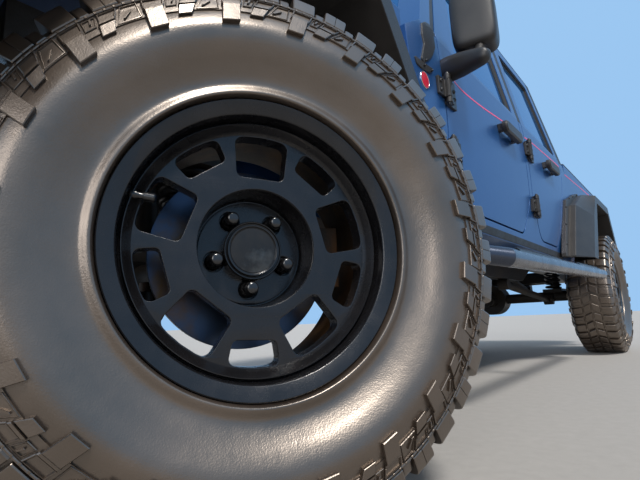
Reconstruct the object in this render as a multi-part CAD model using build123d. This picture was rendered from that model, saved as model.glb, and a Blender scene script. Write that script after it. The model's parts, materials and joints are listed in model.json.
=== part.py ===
from build123d import *
import math
import os

# A lifted off-road crew-cab pickup, in millimetres. It is laid out about the front axle: y is 0 there
# and grows to the rear, x is 0 on the middle plane and grows to the vehicle's left, and z grows
# upwards from a base line just below the ground. The finished pieces are moved so that y is 0 at the
# middle of the overall length and z is 0 on the ground.

# Overall
OVERALL_LENGTH = 5480
FRONT_OVERHANG = 820
WHEELBASE = 3487
FRONT_END = -FRONT_OVERHANG
REAR_END = OVERALL_LENGTH - FRONT_OVERHANG
BED_REAR_Y = REAR_END - 80
SEAT = 0.3
DOOR_GAP = 8
RUNNING = 0.05

# Wheels and tyres, with the offset counted outwards from the wheel's middle plane
TYRE_RADIUS = 442
TYRE_WIDTH = 318
TYRE_SHOULDER_RADIUS = 408
TYRE_CROWN_WIDTH = 250
SIDEWALL_RADIUS = 335
LUGS = 20
LUG_GAP = 30
LUG_DEPTH = 15
AXLE_Z = 487
GROUND_Z = AXLE_Z - TYRE_RADIUS
WHEEL_X = 817
KINGPIN_X = 667
SCRUB = WHEEL_X - KINGPIN_X
STEER_REST = -27
RIM_FLANGE_RADIUS = 234
RIM_SEAT_RADIUS = 218
RIM_BARREL_RADIUS = 208
RIM_HALF_WIDTH = 118
FACE_OFFSET = 72
FACE_THICKNESS = 24
FACE_RADIUS = 190
BAND_RADIUS = 203
BAND_DEPTH = 18
POCKET_RADIUS = 96
PAD_OFFSET = 14
MOUNT_OFFSET = -12
CAP_RADIUS = 48
CAP_OFFSET = 41
WINDOW_OUTER_RADIUS = 188
WINDOW_CORNER = 11
HUB_RADIUS = 78
DISC_RADIUS = 165
DISC_OFFSET = -58
DISC_THICKNESS = 24
HUB_INNER_OFFSET = -98
SPINDLE_RADIUS = 28

# Steering and axles
KINGPIN_RADIUS = 12
KNUCKLE_COLUMN_RADIUS = 26
YOKE_INNER = 88
YOKE_OUTER = 112
STEERING_ARM = 150
STEERING_ARM_LOW = 54
TIE_ROD_RADIUS = 17
TIE_ROD_PLAY = 0.5
AXLE_TUBE_RADIUS = 40
DIFF_RADIUS = 128
FRONT_DIFF_X = 200
REAR_TUBE_END = WHEEL_X - 100

# Frame
RAIL_X = 380
RAIL_WIDTH = 78
RAIL_HEIGHT = 100
RAIL_FRONT_Y = -640
RAIL_REAR_Y = BED_REAR_Y - SEAT
RAIL_NOSE_Z = 650
RAIL_MIDDLE_Z = 600
RAIL_KICK_Z = 705
RAIL_LEVEL = (760, WHEELBASE - 547)
RAIL_KICK = (WHEELBASE - 307, WHEELBASE + 493)
ENGINE_Z = 690
TANK_TOP_Z = 660
SPRING_X = 500
SPRING_RADIUS = 62
PERCH_Z = AXLE_Z + 60
SHOCK_RADIUS = 28
FRONT_SEAT_Z = 735
REAR_SEAT_Z = 772

# Cab and doors
SILL_Z = 690
SILL_X = 766
WAIST_Z = 1010
WAIST_X = 792
BELT_Z = 1410
BELT_X = 781
CANT_Z = 2008
CANT_X = 668
ROOF_EDGE_X = 590
ROOF_EDGE_Z = 2064
ROOF_Z = 2078
SIDE_DEPTH = 92
DOOR_DEPTH = 45
ROOF_DEPTH = 45
FLOOR_Z = 757
FLOOR_THICKNESS = 20
FIREWALL_Y = 640
COWL_Y = 506
CAB_REAR_Y = 2985
DOOR_BOTTOM_Z = 762
HINGE_X = 812
HINGE_PIN_RADIUS = 6
HINGE_LEAF_HEIGHT = 68
HANDLES = {
    # middle of each outside handle as (y, z)
    "front": (1605, 1232), "rear": (2410, 1248),
}
HANDLE_LENGTH = 250
HANDLE_HEIGHT = 58
HANDLE_GRIP = 26
HANDLE_OUTER_X = 842
MIRROR_ARM = [(775, 938, 1285), (948, 885, 1252)]
MIRROR_CENTRE = (912, 948, 1440)
MIRROR_SIZE = (150, 92, 230)
MIRROR_TURN = 12

# Bed
BED_FRONT_Y = 3010
BED_SIDE_X = 785
BED_WALL = 60
BED_FLOOR_Z = 870
BED_RAIL_Z = 1435
BED_SKIRT_Z = 735
BED_FLOOR_THICKNESS = 40
TAILGATE_THICKNESS = 50
TAILGATE_PIN_RADIUS = 10
TAILGATE_AXIS = (BED_REAR_Y - 25, BED_FLOOR_Z + 30)
TAILGATE_CLEARANCE = 7
SPRING_SEATS = [
    # axle y, seat z, side of the axle on which the shock absorber stands
    (0, FRONT_SEAT_Z, -1), (WHEELBASE, REAR_SEAT_Z, 1),
]

# Nose
FENDER_TOP_Z = 1270
FENDER_X = 783
HOOD_REAR_Y = 490
HOOD_FRONT_Y = -512
HOOD_REAR_Z = 1407
HOOD_FRONT_Z = 1340
HOOD_CROWN = 18
HOOD_SKIN = 25
HOOD_FRONT_HALF = 575
HOOD_REAR_HALF = 725
HOOD_REST_GAP = 6
HOOD_AXIS = (520, 1386)
HOOD_ARM_X = 560
HOOD_PIN_RADIUS = 5
GRILLE_Y = -560
GRILLE_THICKNESS = 40
GRILLE_HALF = 562
GRILLE_LOW_Z = 805
LAMP_X = 440
LAMP_Z = 1140
LAMP_RADIUS = 92
BUMPER_LOW_Z = 612
BUMPER_TOP_Z = 800
BUMPER_Y = -760
TOW_EYE_X = 300
TOW_EYE_RADIUS = 12.7
TOW_EYE_Z = 706
REAR_BUMPER_Y = BED_REAR_Y
REAR_BUMPER_DEPTH = 70
REAR_BUMPER_HALF = 700
REAR_BUMPER_Z = 720
REAR_BUMPER_HEIGHT = 130
RECEIVER_Z = 625
RECEIVER_OUTER = 64
RECEIVER_INNER = 51
RECEIVER_PIN_RADIUS = 8
RECEIVER_FRONT_Y = REAR_END - 104
RECEIVER_PIN_Y = REAR_END - 57
STEP_X = 945
STEP_RADIUS = 32
STEP_FRONT = (760, 540)
STEP_REAR = (WHEELBASE - 567, 592)
STEP_ROOT_X = 760
STEP_RISE = 45
STEP_BEND = 140

# Wheel arches as (y from the axle, z), outer edge; the flares are bands inside them
FRONT_ARCH = [(-635, 745), (-476, 980), (-300, 1250), (300, 1250), (476, 980), (635, 745)]
REAR_ARCH = [(-647, 700), (-282, 1205), (313, 1205), (643, 760)]
FLARE_BAND = 58
FLARE_LINER = 8
FRONT_FLARE_X = 900
# The rear flares step outwards from a flange on the body over a shoulder to the lip
REAR_FLANGE = [(-968, 722), (-728, 1110), (-320, 1232), (340, 1232), (690, 745)]
REAR_SHOULDER = [(-880, 712), (-630, 1085), (-300, 1220), (328, 1220), (668, 752)]
REAR_LIP = [(-720, 700), (-470, 1015), (-282, 1200), (313, 1205), (643, 760)]
REAR_FLANGE_X = 812
REAR_SHOULDER_X = 848
REAR_FLARE_X = 928
FLARE_WALL = 10

def across(points, x0, x1):
    """A solid with the side outline points (y, z), from x0 to x1."""
    face = Plane.YZ.offset(x0) * make_face(Polyline(*points, close=True))
    return extrude(face, x1 - x0, dir=(1, 0, 0))


def along(points, y0, y1):
    """A solid with the front outline points (x, z), from y0 to y1."""
    face = Plane.XZ.offset(-y0) * make_face(Polyline(*points, close=True))
    return extrude(face, y1 - y0, dir=(0, 1, 0))


def upright(points, z0, z1):
    """A solid with the plan outline points (x, y), from z0 to z1."""
    face = Plane.XY.offset(z0) * make_face(Polyline(*points, close=True))
    return extrude(face, z1 - z0, dir=(0, 0, 1))


def block(x0, x1, y0, y1, z0, z1):
    """A box between two corners."""
    centre = ((x0 + x1) / 2, (y0 + y1) / 2, (z0 + z1) / 2)
    return Pos(*centre) * Box(abs(x1 - x0), abs(y1 - y0), abs(z1 - z0))


def rod(start, end, radius):
    """A round bar from start to end."""
    a, b = Vector(*start), Vector(*end)
    bar = Cylinder(radius, (b - a).length, align=(Align.CENTER, Align.CENTER, Align.MIN))
    return Plane(origin=a, z_dir=b - a) * bar


def bent_tube(points, radius, bend):
    """A round bar along a route whose corners are arcs of the given radius."""
    path = FilletPolyline(*points, radius=bend)
    return sweep(Plane(origin=path @ 0, z_dir=path % 0) * Circle(radius), path=path)


def mirrored(solid):
    """The same solid on the other side of the middle plane."""
    return mirror(solid, about=Plane.YZ)


def both(solid):
    """A solid and its mirror image, joined."""
    return solid + mirrored(solid)


def ring(profile, angle=360):
    """A turned solid about the x axis from a profile of (x, radius) points."""
    face = make_face(Polyline(*profile, close=True))
    return revolve(Plane.XY * face, axis=Axis.X, revolution_arc=angle)


def side_face(inset, top_inset):
    """The cab's cross-section, moved in by inset at its sides and top_inset at its roof."""
    low = (SILL_X - inset, SILL_Z)
    waist = (WAIST_X - inset, WAIST_Z)
    belt = (BELT_X - inset, BELT_Z)
    cant = (CANT_X - inset, CANT_Z - top_inset)
    edge = (ROOF_EDGE_X - inset, ROOF_EDGE_Z - top_inset)
    crown = (0, ROOF_Z - top_inset)

    def left(point):
        return (-point[0], point[1])

    return make_face([
        ThreePointArc(low, waist, belt),
        Line(belt, cant),
        Line(cant, edge),
        ThreePointArc(edge, crown, left(edge)),
        Line(left(edge), left(cant)),
        Line(left(cant), left(belt)),
        ThreePointArc(left(belt), left(waist), left(low)),
        Line(left(low), low),
    ])


def cab_section(inset, top_inset, y0, y1):
    """The cab's cross-section as a solid from y0 to y1."""
    return extrude(Plane.XZ.offset(-y0) * side_face(inset, top_inset), y1 - y0, dir=(0, 1, 0))


# Side outlines of the doors as (y, z, corner radius), and of their windows
FRONT_DOOR = [
    (905, DOOR_BOTTOM_Z, 30), (905, 1440, 0), (1196, 1998, 20), (1908, 1998, 20),
    (1915, BELT_Z, 0), (1915, 960, 120), (1775, DOOR_BOTTOM_Z, 60),
]
REAR_DOOR = [
    (1979, 960, 120), (1979, 1998, 20), (2700, 1998, 40), (2862, BELT_Z, 0), (2862, 1330, 80),
    (2590, 900, 120), (2480, DOOR_BOTTOM_Z, 60), (2110, DOOR_BOTTOM_Z, 120),
]
FRONT_WINDOW = [
    (1075, 1428, 20), (1290, 1938, 30), (1838, 1938, 30), (1838, 1428, 20),
]
REAR_WINDOW = [
    (2060, 1428, 20), (2060, 1938, 30), (2640, 1938, 30), (2775, 1428, 20),
]
FRONT_HINGES = (905 - 12, (940, 1185))
REAR_HINGES = (1979 - 12, (930, 1250))
DOORS = {
    "front": (FRONT_DOOR, FRONT_WINDOW, FRONT_HINGES),
    "rear": (REAR_DOOR, REAR_WINDOW, REAR_HINGES),
}


def outline(corners, grow=0):
    """A side outline with its corners rounded, grown or shrunk by an even margin."""
    face = make_face(Polyline(*[(y, z) for y, z, r in corners], close=True))
    for y, z, radius in corners:
        if radius:
            corner = face.vertices().sort_by_distance((y, z, 0))[0]
            face = fillet(corner, radius)
    if grow:
        face = offset(face, grow, kind=Kind.INTERSECTION)
    return face


def side_prism(corners, x0, x1, grow=0):
    """A rounded side outline as a solid from x0 to x1."""
    return extrude(Plane.YZ.offset(x0) * outline(corners, grow), x1 - x0, dir=(1, 0, 0))


# The cab's side profile as (y, z): its outer skin and its inside
CAB_PROFILE = [
    (FIREWALL_Y, SILL_Z), (FIREWALL_Y, 1330), (775, 1425), (1118, 2040), (1160, 2090),
    (2690, 2090), (2765, 2030), (2965, BELT_Z), (CAB_REAR_Y, 1380), (CAB_REAR_Y, SILL_Z),
]
CAB_INSIDE = [
    (FIREWALL_Y + 20, FLOOR_Z), (FIREWALL_Y + 20, 1330), (835, 1410), (1182, 2034),
    (2655, 2034), (2702, 2000), (2900, BELT_Z), (2925, 1380), (2925, FLOOR_Z),
]
# The line that parts the windshield frame from the hard top, as (y, z)
HEADER_LINE = [(600, BELT_Z), (850, BELT_Z), (1220, 2100), (600, 2100)]
WINDSHIELD_LOW = (775, 1425)
WINDSHIELD_TOP = (1118, 2040)


def cab_shell():
    """The whole cab as one hollow shell, with its door openings."""
    outer = cab_section(0, 0, FIREWALL_Y - 10, CAB_REAR_Y + 10) & across(CAB_PROFILE, -900, 900)
    inside = cab_section(SIDE_DEPTH, ROOF_DEPTH, FIREWALL_Y, CAB_REAR_Y) & across(CAB_INSIDE, -900, 900)
    shell = outer - inside
    step = cab_section(DOOR_DEPTH + DOOR_GAP, ROOF_DEPTH, FIREWALL_Y, CAB_REAR_Y)
    for door, window, hinges in DOORS.values():
        shell -= side_prism(door, -900, 900, DOOR_GAP) - step
        shell -= side_prism(door, -900, 900, -38)
    return shell


def tilted_window(width_low, width_top, margin_low, margin_top, depth, shrink=0):
    """A prism through the windshield's plane, with its corners rounded."""
    low, top = Vector(0, *WINDSHIELD_LOW), Vector(0, *WINDSHIELD_TOP)
    up = (top - low).normalized()
    height = (top - low).length
    plane = Plane(origin=low, x_dir=(1, 0, 0), z_dir=up.cross(Vector(1, 0, 0)))
    sign = 1 if plane.y_dir.dot(up) > 0 else -1
    a, b = sign * (margin_low + shrink), sign * (height - margin_top - shrink)
    wl, wt = width_low - shrink, width_top - shrink
    face = make_face(Polyline((-wl, a), (wl, a), (wt, b), (-wt, b), close=True))
    face = fillet(face.vertices(), 40)
    return extrude(plane * face, depth, both=True)


def windshield_opening(shrink=0, depth=120):
    """The opening in the windshield frame."""
    return tilted_window(665, 590, 60, 70, depth, shrink)


def rear_window_opening(shrink=0):
    """The opening in the back of the cab, as (x, z)."""
    face = make_face(Polyline((-520, 1500), (520, 1500), (470, 1920), (-470, 1920), close=True))
    face = fillet(face.vertices(), 50)
    face = offset(face, -shrink) if shrink else face
    return extrude(Plane.XZ.offset(-2640) * face, 400, dir=(0, 1, 0))


def cab_parts():
    """The cab's tub, windshield frame, hard top and glass."""
    shell = cab_shell()
    below = block(-900, 900, 0, 4000, 0, BELT_Z)
    nose = across(HEADER_LINE, -900, 900)
    upper = shell - block(-900, 900, 0, 4000, 0, BELT_Z + SEAT)
    frame = (upper & nose) - windshield_opening()
    top = upper - across([(y + SEAT, z) for y, z in HEADER_LINE[1:3]] + [(600, 2100), (600, BELT_Z)], -900, 900)
    top -= rear_window_opening()

    tub = shell & below
    tub -= block(-640, 640, FIREWALL_Y, CAB_REAR_Y, SILL_Z - 10, FLOOR_Z - FLOOR_THICKNESS)
    cowl = across([
        (COWL_Y, FENDER_TOP_Z + SEAT), (COWL_Y, 1398), (560, BELT_Z), (FIREWALL_Y + 20, BELT_Z),
        (FIREWALL_Y + 20, FENDER_TOP_Z + SEAT),
    ], -BELT_X + 20, BELT_X - 20)
    axis_y, axis_z = HOOD_AXIS
    for x in (-HOOD_ARM_X, HOOD_ARM_X):
        cowl -= block(x - 15, x + 15, COWL_Y - 1, axis_y + 26, axis_z - 20, 1500)
        cowl += rod((x - 16, axis_y, axis_z), (x + 16, axis_y, axis_z), HOOD_PIN_RADIUS)
    tub += cowl

    glass_low, glass_top = Vector(0, *WINDSHIELD_LOW), Vector(0, *WINDSHIELD_TOP)
    slope = (glass_top - glass_low).normalized()
    inward = Vector(0, slope.Z, -slope.Y)
    windshield = windshield_opening(SEAT, 3)
    windshield = Pos(*(inward * 20)) * windshield
    lean = across([(2928, BELT_Z), (2934, BELT_Z), (2737, 2010), (2731, 2010)], -700, 700)
    rear_glass = lean & rear_window_opening(SEAT)
    return tub, frame, top, [windshield, rear_glass]


def door_mirror():
    """The left door mirror: a tapered arm that leans forwards, and a rounded head above its end."""
    (x0, y0, z0), (x1, y1, z1) = MIRROR_ARM
    way = Vector(x1 - x0, y1 - y0, z1 - z0)
    arm = loft([
        Plane(origin=(x0, y0, z0), x_dir=(0, 0, 1), z_dir=way) * Ellipse(38, 32),
        Plane(origin=(x1, y1, z1), x_dir=(0, 0, 1), z_dir=way) * Ellipse(26, 22),
    ])
    head = Box(*MIRROR_SIZE)
    head = fillet(head.edges().filter_by(Axis.Y), 32)
    head = chamfer(head.faces().sort_by(Axis.Y)[0].edges(), 14)
    head = Pos(*MIRROR_CENTRE) * Rot(0, 0, MIRROR_TURN) * head
    neck = rod((x1 - 18, y1 + 4, z1), (x1 - 18, MIRROR_CENTRE[1], MIRROR_CENTRE[2] - MIRROR_SIZE[2] / 2 + 20), 18)
    return arm + neck + head


def door_parts(place, side):
    """One door's shell, glass and hardware, made on the left and mirrored for the right."""
    door, window, (hinge_y, hinge_zs) = DOORS[place]
    skin = cab_section(0, 0, FIREWALL_Y, CAB_REAR_Y) - cab_section(DOOR_DEPTH, 0, FIREWALL_Y, CAB_REAR_Y)
    slab = skin & side_prism(door, 400, 900)
    shell = slab - side_prism(window, 400, 900)
    pane_zone = cab_section(18, 0, FIREWALL_Y, CAB_REAR_Y) - cab_section(23, 0, FIREWALL_Y, CAB_REAR_Y)
    glass = pane_zone & side_prism(window, 400, 900, -SEAT)

    skin_space = cab_section(-SEAT, 0, FIREWALL_Y, CAB_REAR_Y)
    hardware = []
    for z in hinge_zs:
        half = HINGE_LEAF_HEIGHT / 2
        leaf = block(780, WAIST_X + 12, hinge_y + 22, hinge_y + 84, z - half - 22, z + half + 22)
        for z0 in (z - half - 22, z + half + 2):
            leaf += block(780, HINGE_X + 6, hinge_y, hinge_y + 30, z0, z0 + 20)
            leaf += Pos(HINGE_X, hinge_y, z0 + 10) * Cylinder(12, 20)
        leaf -= Pos(HINGE_X, hinge_y, z) * Cylinder(HINGE_PIN_RADIUS + RUNNING, 200)
        hardware.append(leaf - skin_space - block(700, 900, 0, hinge_y - 13, 0, 3000))
    handle_y, handle_z = HANDLES[place]
    handle = extrude(Plane.YZ.offset(HANDLE_OUTER_X - HANDLE_GRIP) * (
        Pos(handle_y, handle_z) * SlotOverall(HANDLE_LENGTH, HANDLE_HEIGHT)), HANDLE_GRIP, dir=(1, 0, 0))
    handle = chamfer(handle.faces().sort_by(Axis.X)[-1].edges(), 7)
    for y in (handle_y - HANDLE_LENGTH / 2 + 14, handle_y + HANDLE_LENGTH / 2 - 44):
        handle += block(780, HANDLE_OUTER_X - HANDLE_GRIP + 1, y, y + 30, handle_z - 17, handle_z + 17)
    hardware.append(handle - skin_space)
    if place == "front":
        hardware.append(door_mirror() - skin_space)
    parts = [shell, glass, hardware]
    if side == "left":
        return parts
    return [mirrored(shell), mirrored(glass), [mirrored(piece) for piece in hardware]]


def body_hinges():
    """The hinge leaves that stay on the body, with their pins."""
    skin_space = cab_section(-SEAT, 0, FIREWALL_Y, CAB_REAR_Y)
    half = HINGE_LEAF_HEIGHT / 2
    leaves = []
    for place, length in (("front", 60), ("rear", 42)):
        hinge_y, hinge_zs = DOORS[place][2]
        for z in hinge_zs:
            leaf = block(780, WAIST_X + 12, hinge_y - length, hinge_y, z - half, z + half)
            leaf += block(780, HINGE_X + 6, hinge_y - 14, hinge_y, z - half, z + half)
            leaf -= skin_space
            leaf += Pos(HINGE_X, hinge_y, z) * Cylinder(12, HINGE_LEAF_HEIGHT)
            leaf += Pos(HINGE_X, hinge_y, z) * Cylinder(HINGE_PIN_RADIUS, HINGE_LEAF_HEIGHT + 44)
            leaves += [leaf, mirrored(leaf)]
    return leaves


def rail_outline():
    """A frame rail's side view, kicked up over both axles."""
    stations = [
        # y, bottom z
        (RAIL_FRONT_Y, RAIL_NOSE_Z), (420, RAIL_NOSE_Z), (RAIL_LEVEL[0], RAIL_MIDDLE_Z),
        (RAIL_LEVEL[1], RAIL_MIDDLE_Z), (RAIL_KICK[0], RAIL_KICK_Z), (RAIL_KICK[1], RAIL_KICK_Z),
        (BED_REAR_Y - 240, RAIL_NOSE_Z), (RAIL_REAR_Y, RAIL_NOSE_Z),
    ]
    return stations + [(y, z + RAIL_HEIGHT) for y, z in reversed(stations)]


def rail_top(y):
    """The height of a rail's upper face where it runs level."""
    if RAIL_LEVEL[0] <= y <= RAIL_LEVEL[1]:
        return RAIL_MIDDLE_Z + RAIL_HEIGHT
    return (RAIL_KICK_Z if RAIL_KICK[0] <= y <= RAIL_KICK[1] else RAIL_NOSE_Z) + RAIL_HEIGHT


CROSSMEMBERS = [
    # y, bottom z, length along y, height
    (-600, 665, 40, 70), (100, 640, 70, ENGINE_Z - SEAT - 640), (1530, 645, 60, 50),
    (2050, TANK_TOP_Z + SEAT, 60, 38), (2620, 625, 60, 60), (WHEELBASE, 745, 70, 55),
    (BED_REAR_Y - 60, 665, 60, 75),
]
BODY_MOUNTS = [
    # y, underside of the body above the rail
    (900, FLOOR_Z - FLOOR_THICKNESS), (1700, FLOOR_Z - FLOOR_THICKNESS), (2500, FLOOR_Z - FLOOR_THICKNESS),
    (3250, BED_FLOOR_Z - BED_FLOOR_THICKNESS), (BED_REAR_Y - 140, BED_FLOOR_Z - BED_FLOOR_THICKNESS),
]


def frame_rails():
    """Two kicked rails joined by crossmembers, with body mounts and spring seats."""
    inner, outer = RAIL_X - RAIL_WIDTH / 2, RAIL_X + RAIL_WIDTH / 2
    frame = both(across(rail_outline(), inner, outer))
    for y, z, length, height in CROSSMEMBERS:
        frame += block(-inner - 1, inner + 1, y - length / 2, y + length / 2, z, z + height)
    for y, underside in BODY_MOUNTS:
        frame += both(Pos(RAIL_X, y, 0) * block(-28, 28, -28, 28, rail_top(y) - 1, underside - SEAT))
    for axle_y, seat_z, way in SPRING_SEATS:
        low, high = sorted((axle_y - way * 65, axle_y + way * 135))
        frame += both(block(outer - 1, SPRING_X + 70, low, high, seat_z, seat_z + 16))
    return frame


def tyre():
    """A mud-terrain tyre about the x axis, its shoulders notched into lugs."""
    half, crown = TYRE_WIDTH / 2, TYRE_CROWN_WIDTH / 2
    bead = RIM_SEAT_RADIUS + SEAT
    bead_x = RIM_HALF_WIDTH - 10
    side = [
        (bead_x, bead), (bead_x, 240), (half - 16, 276), (half, SIDEWALL_RADIUS + 10),
        (half, TYRE_SHOULDER_RADIUS), (crown, TYRE_RADIUS - 7), (crown - 22, TYRE_RADIUS),
    ]
    body = ring(side + [(-x, r) for x, r in reversed(side)])
    notch = block(crown - 34, half + 5, -LUG_GAP / 2, LUG_GAP / 2, TYRE_RADIUS - LUG_DEPTH, TYRE_RADIUS + 5)
    for k in range(LUGS):
        turn = 360 / LUGS * k
        body -= Rot(turn, 0, 0) * notch
        body -= Rot(turn + 180 / LUGS, 0, 0) * mirrored(notch)
    return body


def rim():
    """A five-and-five window wheel about the x axis, its outer side towards +x."""
    flange = RIM_HALF_WIDTH
    back = FACE_OFFSET - FACE_THICKNESS
    body = ring([
        (flange - 9, RIM_BARREL_RADIUS), (flange, RIM_FLANGE_RADIUS), (flange - 8, RIM_FLANGE_RADIUS),
        (flange - 10, RIM_SEAT_RADIUS), (-flange + 10, RIM_SEAT_RADIUS), (-flange + 8, RIM_FLANGE_RADIUS),
        (-flange, RIM_FLANGE_RADIUS), (-flange, RIM_BARREL_RADIUS), (back, RIM_BARREL_RADIUS),
        (back, POCKET_RADIUS + 22), (MOUNT_OFFSET, POCKET_RADIUS + 2), (MOUNT_OFFSET, 36), (14, 36),
        (14, 0), (CAP_OFFSET - 4, 0), (CAP_OFFSET - 4, 37), (CAP_OFFSET, 39), (CAP_OFFSET, 44),
        (CAP_OFFSET - 5, CAP_RADIUS), (PAD_OFFSET, CAP_RADIUS), (PAD_OFFSET, POCKET_RADIUS - 8),
        (FACE_OFFSET, POCKET_RADIUS), (FACE_OFFSET, FACE_RADIUS), (FACE_OFFSET + BAND_DEPTH, BAND_RADIUS),
        (FACE_OFFSET + BAND_DEPTH, RIM_BARREL_RADIUS),
    ])
    windows = [
        # first angle, inner radius, half width inside, half width outside
        (15, 115, 40, 46), (51, 147, 34, 41),
    ]
    for first, inner, narrow, wide in windows:
        side = math.sqrt(WINDOW_OUTER_RADIUS ** 2 - wide ** 2)
        cut = make_face([
            Line((inner, narrow), (inner, -narrow)),
            Line((inner, -narrow), (side, -wide)),
            ThreePointArc((side, -wide), (WINDOW_OUTER_RADIUS, 0), (side, wide)),
            Line((side, wide), (inner, narrow)),
        ])
        cut = fillet(cut.vertices(), WINDOW_CORNER)
        for k in range(5):
            body -= extrude(Plane.YZ.offset(back - 70) * (Rot(0, 0, first + 72 * k) * cut), 200)
    return body


def hub():
    """A hub with its brake disc, about the x axis, bored for the spindle."""
    flange_x = MOUNT_OFFSET - SEAT
    disc_out, disc_in = DISC_OFFSET + DISC_THICKNESS / 2, DISC_OFFSET - DISC_THICKNESS / 2
    bore = SPINDLE_RADIUS + RUNNING
    return ring([
        (HUB_INNER_OFFSET, bore), (HUB_INNER_OFFSET, 52), (disc_in, 52), (disc_in, DISC_RADIUS),
        (disc_out, DISC_RADIUS), (disc_out, 88), (-30, 84), (-30, HUB_RADIUS), (flange_x, HUB_RADIUS),
        (flange_x, 0), (-22, 0), (-22, bore),
    ])


def spindle(base_offset):
    """The fixed stub that carries a hub, about the x axis."""
    return ring([(base_offset, 0), (base_offset, SPINDLE_RADIUS), (-26, SPINDLE_RADIUS), (-26, 0)])


def caliper():
    """A brake caliper that straddles the disc, behind the axle, about the x axis."""
    body = block(-102, -20, 118, 184, -58, 58) - block(DISC_OFFSET - 19, DISC_OFFSET + 19, 0, 173, -80, 80)
    bracket = block(-132, -101, 40, 170, -40, 40)
    return body + bracket


def placed(solid, side, axle_y, steered):
    """A wheel piece that is made about the x axis, set at its corner of the vehicle."""
    if steered:
        local = Pos(SCRUB, 0, 0) * solid
        if side == "right":
            local = mirrored(local)
        sign = 1 if side == "left" else -1
        return Pos(sign * KINGPIN_X, axle_y, AXLE_Z) * Rot(0, 0, STEER_REST) * local
    local = Pos(WHEEL_X, 0, 0) * solid
    if side == "right":
        local = mirrored(local)
    return Pos(0, axle_y, AXLE_Z) * local


def knuckle(side):
    """A steering knuckle with its kingpins, spindle, arm and brake caliper."""
    kingpin = -SCRUB
    body = Pos(kingpin, 0, 0) * Cylinder(KNUCKLE_COLUMN_RADIUS, 2 * (YOKE_INNER - 5))
    body += Pos(kingpin, 0, 0) * Cylinder(KINGPIN_RADIUS, 2 * YOKE_OUTER)
    body += block(kingpin, -112, -30, 30, -50, 50)
    body += ring([(-130, 0), (-130, 64), (-112, 64), (-112, 0)])
    body += spindle(-115)
    body += caliper()
    arm = block(kingpin - 16, kingpin + 16, -STEERING_ARM, 0, -STEERING_ARM_LOW, -STEERING_ARM_LOW + 18)
    arm += Pos(kingpin, -STEERING_ARM, -STEERING_ARM_LOW + 9) * Cylinder(24, 18)
    body += arm
    return placed(body, side, 0, True)


def tie_rod():
    """The bar that joins both steering arms, under their ends."""
    turn = math.radians(STEER_REST)
    end_x = STEERING_ARM * math.sin(turn)
    end_y = -STEERING_ARM * math.cos(turn)
    z = AXLE_Z - STEERING_ARM_LOW - TIE_ROD_PLAY - TIE_ROD_RADIUS
    left, right = (KINGPIN_X + end_x, end_y - 6, z), (-KINGPIN_X + end_x, end_y - 6, z)
    bar = rod(left, right, TIE_ROD_RADIUS)
    for x, y, height in (left, right):
        bar += Pos(x, y, height) * Cylinder(26, 34)
    return bar


def front_axle():
    """The driven front axle with the forks that carry its knuckles."""
    x, z = KINGPIN_X, AXLE_Z
    axle = rod((82 - x, 0, z), (x - 82, 0, z), AXLE_TUBE_RADIUS)
    axle += differential(FRONT_DIFF_X, 0, 1)
    upper = [
        (x - 102, z + 50), (x - 57, z + YOKE_OUTER), (x + 30, z + YOKE_OUTER), (x + 30, z + YOKE_INNER),
        (x - 44, z + YOKE_INNER), (x - 72, z + 45),
    ]
    fork = upper + [(px, 2 * z - pz) for px, pz in reversed(upper)]
    yoke = along(fork, -30, 30) - Pos(KINGPIN_X, 0, z) * Cylinder(KINGPIN_RADIUS + RUNNING, 400)
    axle += both(yoke)
    return axle + perches(0, -1)


def perches(y, way):
    """The plates on an axle that carry its springs and shock absorbers."""
    low, high = sorted((y - way * 65, y + way * 135))
    return both(block(SPRING_X - 70, SPRING_X + 70, low, high, AXLE_Z + 30, PERCH_Z))


def differential(x, y, nose):
    """An axle's differential housing, its pinion nose towards nose times +y."""
    housing = Pos(x, y, AXLE_Z) * Rot(90, 0, 0) * Cylinder(DIFF_RADIUS, 150)
    cover = Pos(x, y - nose * 75, AXLE_Z) * scale(Sphere(DIFF_RADIUS - 12), (1, 0.36, 1))
    pinion = rod((x, y, AXLE_Z), (x, y + nose * 190, AXLE_Z), 62)
    pinion += rod((x, y + nose * 150, AXLE_Z), (x, y + nose * 225, AXLE_Z), 40)
    return housing + cover + pinion


def rear_axle():
    """The driven rear axle with its spindles and calipers."""
    y = WHEELBASE
    axle = rod((-REAR_TUBE_END, y, AXLE_Z), (REAR_TUBE_END, y, AXLE_Z), AXLE_TUBE_RADIUS)
    axle += differential(0, y, -1)
    end = ring([(-130, 0), (-130, 64), (-112, 64), (-112, 0)]) + spindle(-130) + caliper()
    for side in ("left", "right"):
        axle += placed(end, side, y, False)
    return axle + perches(y, 1)


LINKS = [
    # x, y and z at the axle, y and z at the frame, its x there, radius
    ((408, 73.5, AXLE_Z - 27), (395, 860, RAIL_MIDDLE_Z - 38 - SEAT), 24),
    ((372, 45, AXLE_Z + 59), (372, 560, 592), 20),
    ((470, WHEELBASE - 73.5, AXLE_Z - 27), (400, WHEELBASE - 927, RAIL_MIDDLE_Z - 38 - SEAT), 24),
    ((306, WHEELBASE - 45, AXLE_Z + 59), (306, WHEELBASE - 587, 660), 20),
]


def springs():
    """The coil springs, as sleeves of their outer size."""
    sleeves = []
    for axle_y, seat_z, way in SPRING_SEATS:
        height = seat_z - PERCH_Z - 2 * SEAT
        sleeve = Cylinder(SPRING_RADIUS, height) - Cylinder(SPRING_RADIUS - 18, height)
        sleeve = Pos(SPRING_X, axle_y, (seat_z + PERCH_Z) / 2) * sleeve
        sleeves += [sleeve, mirrored(sleeve)]
    return sleeves


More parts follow.
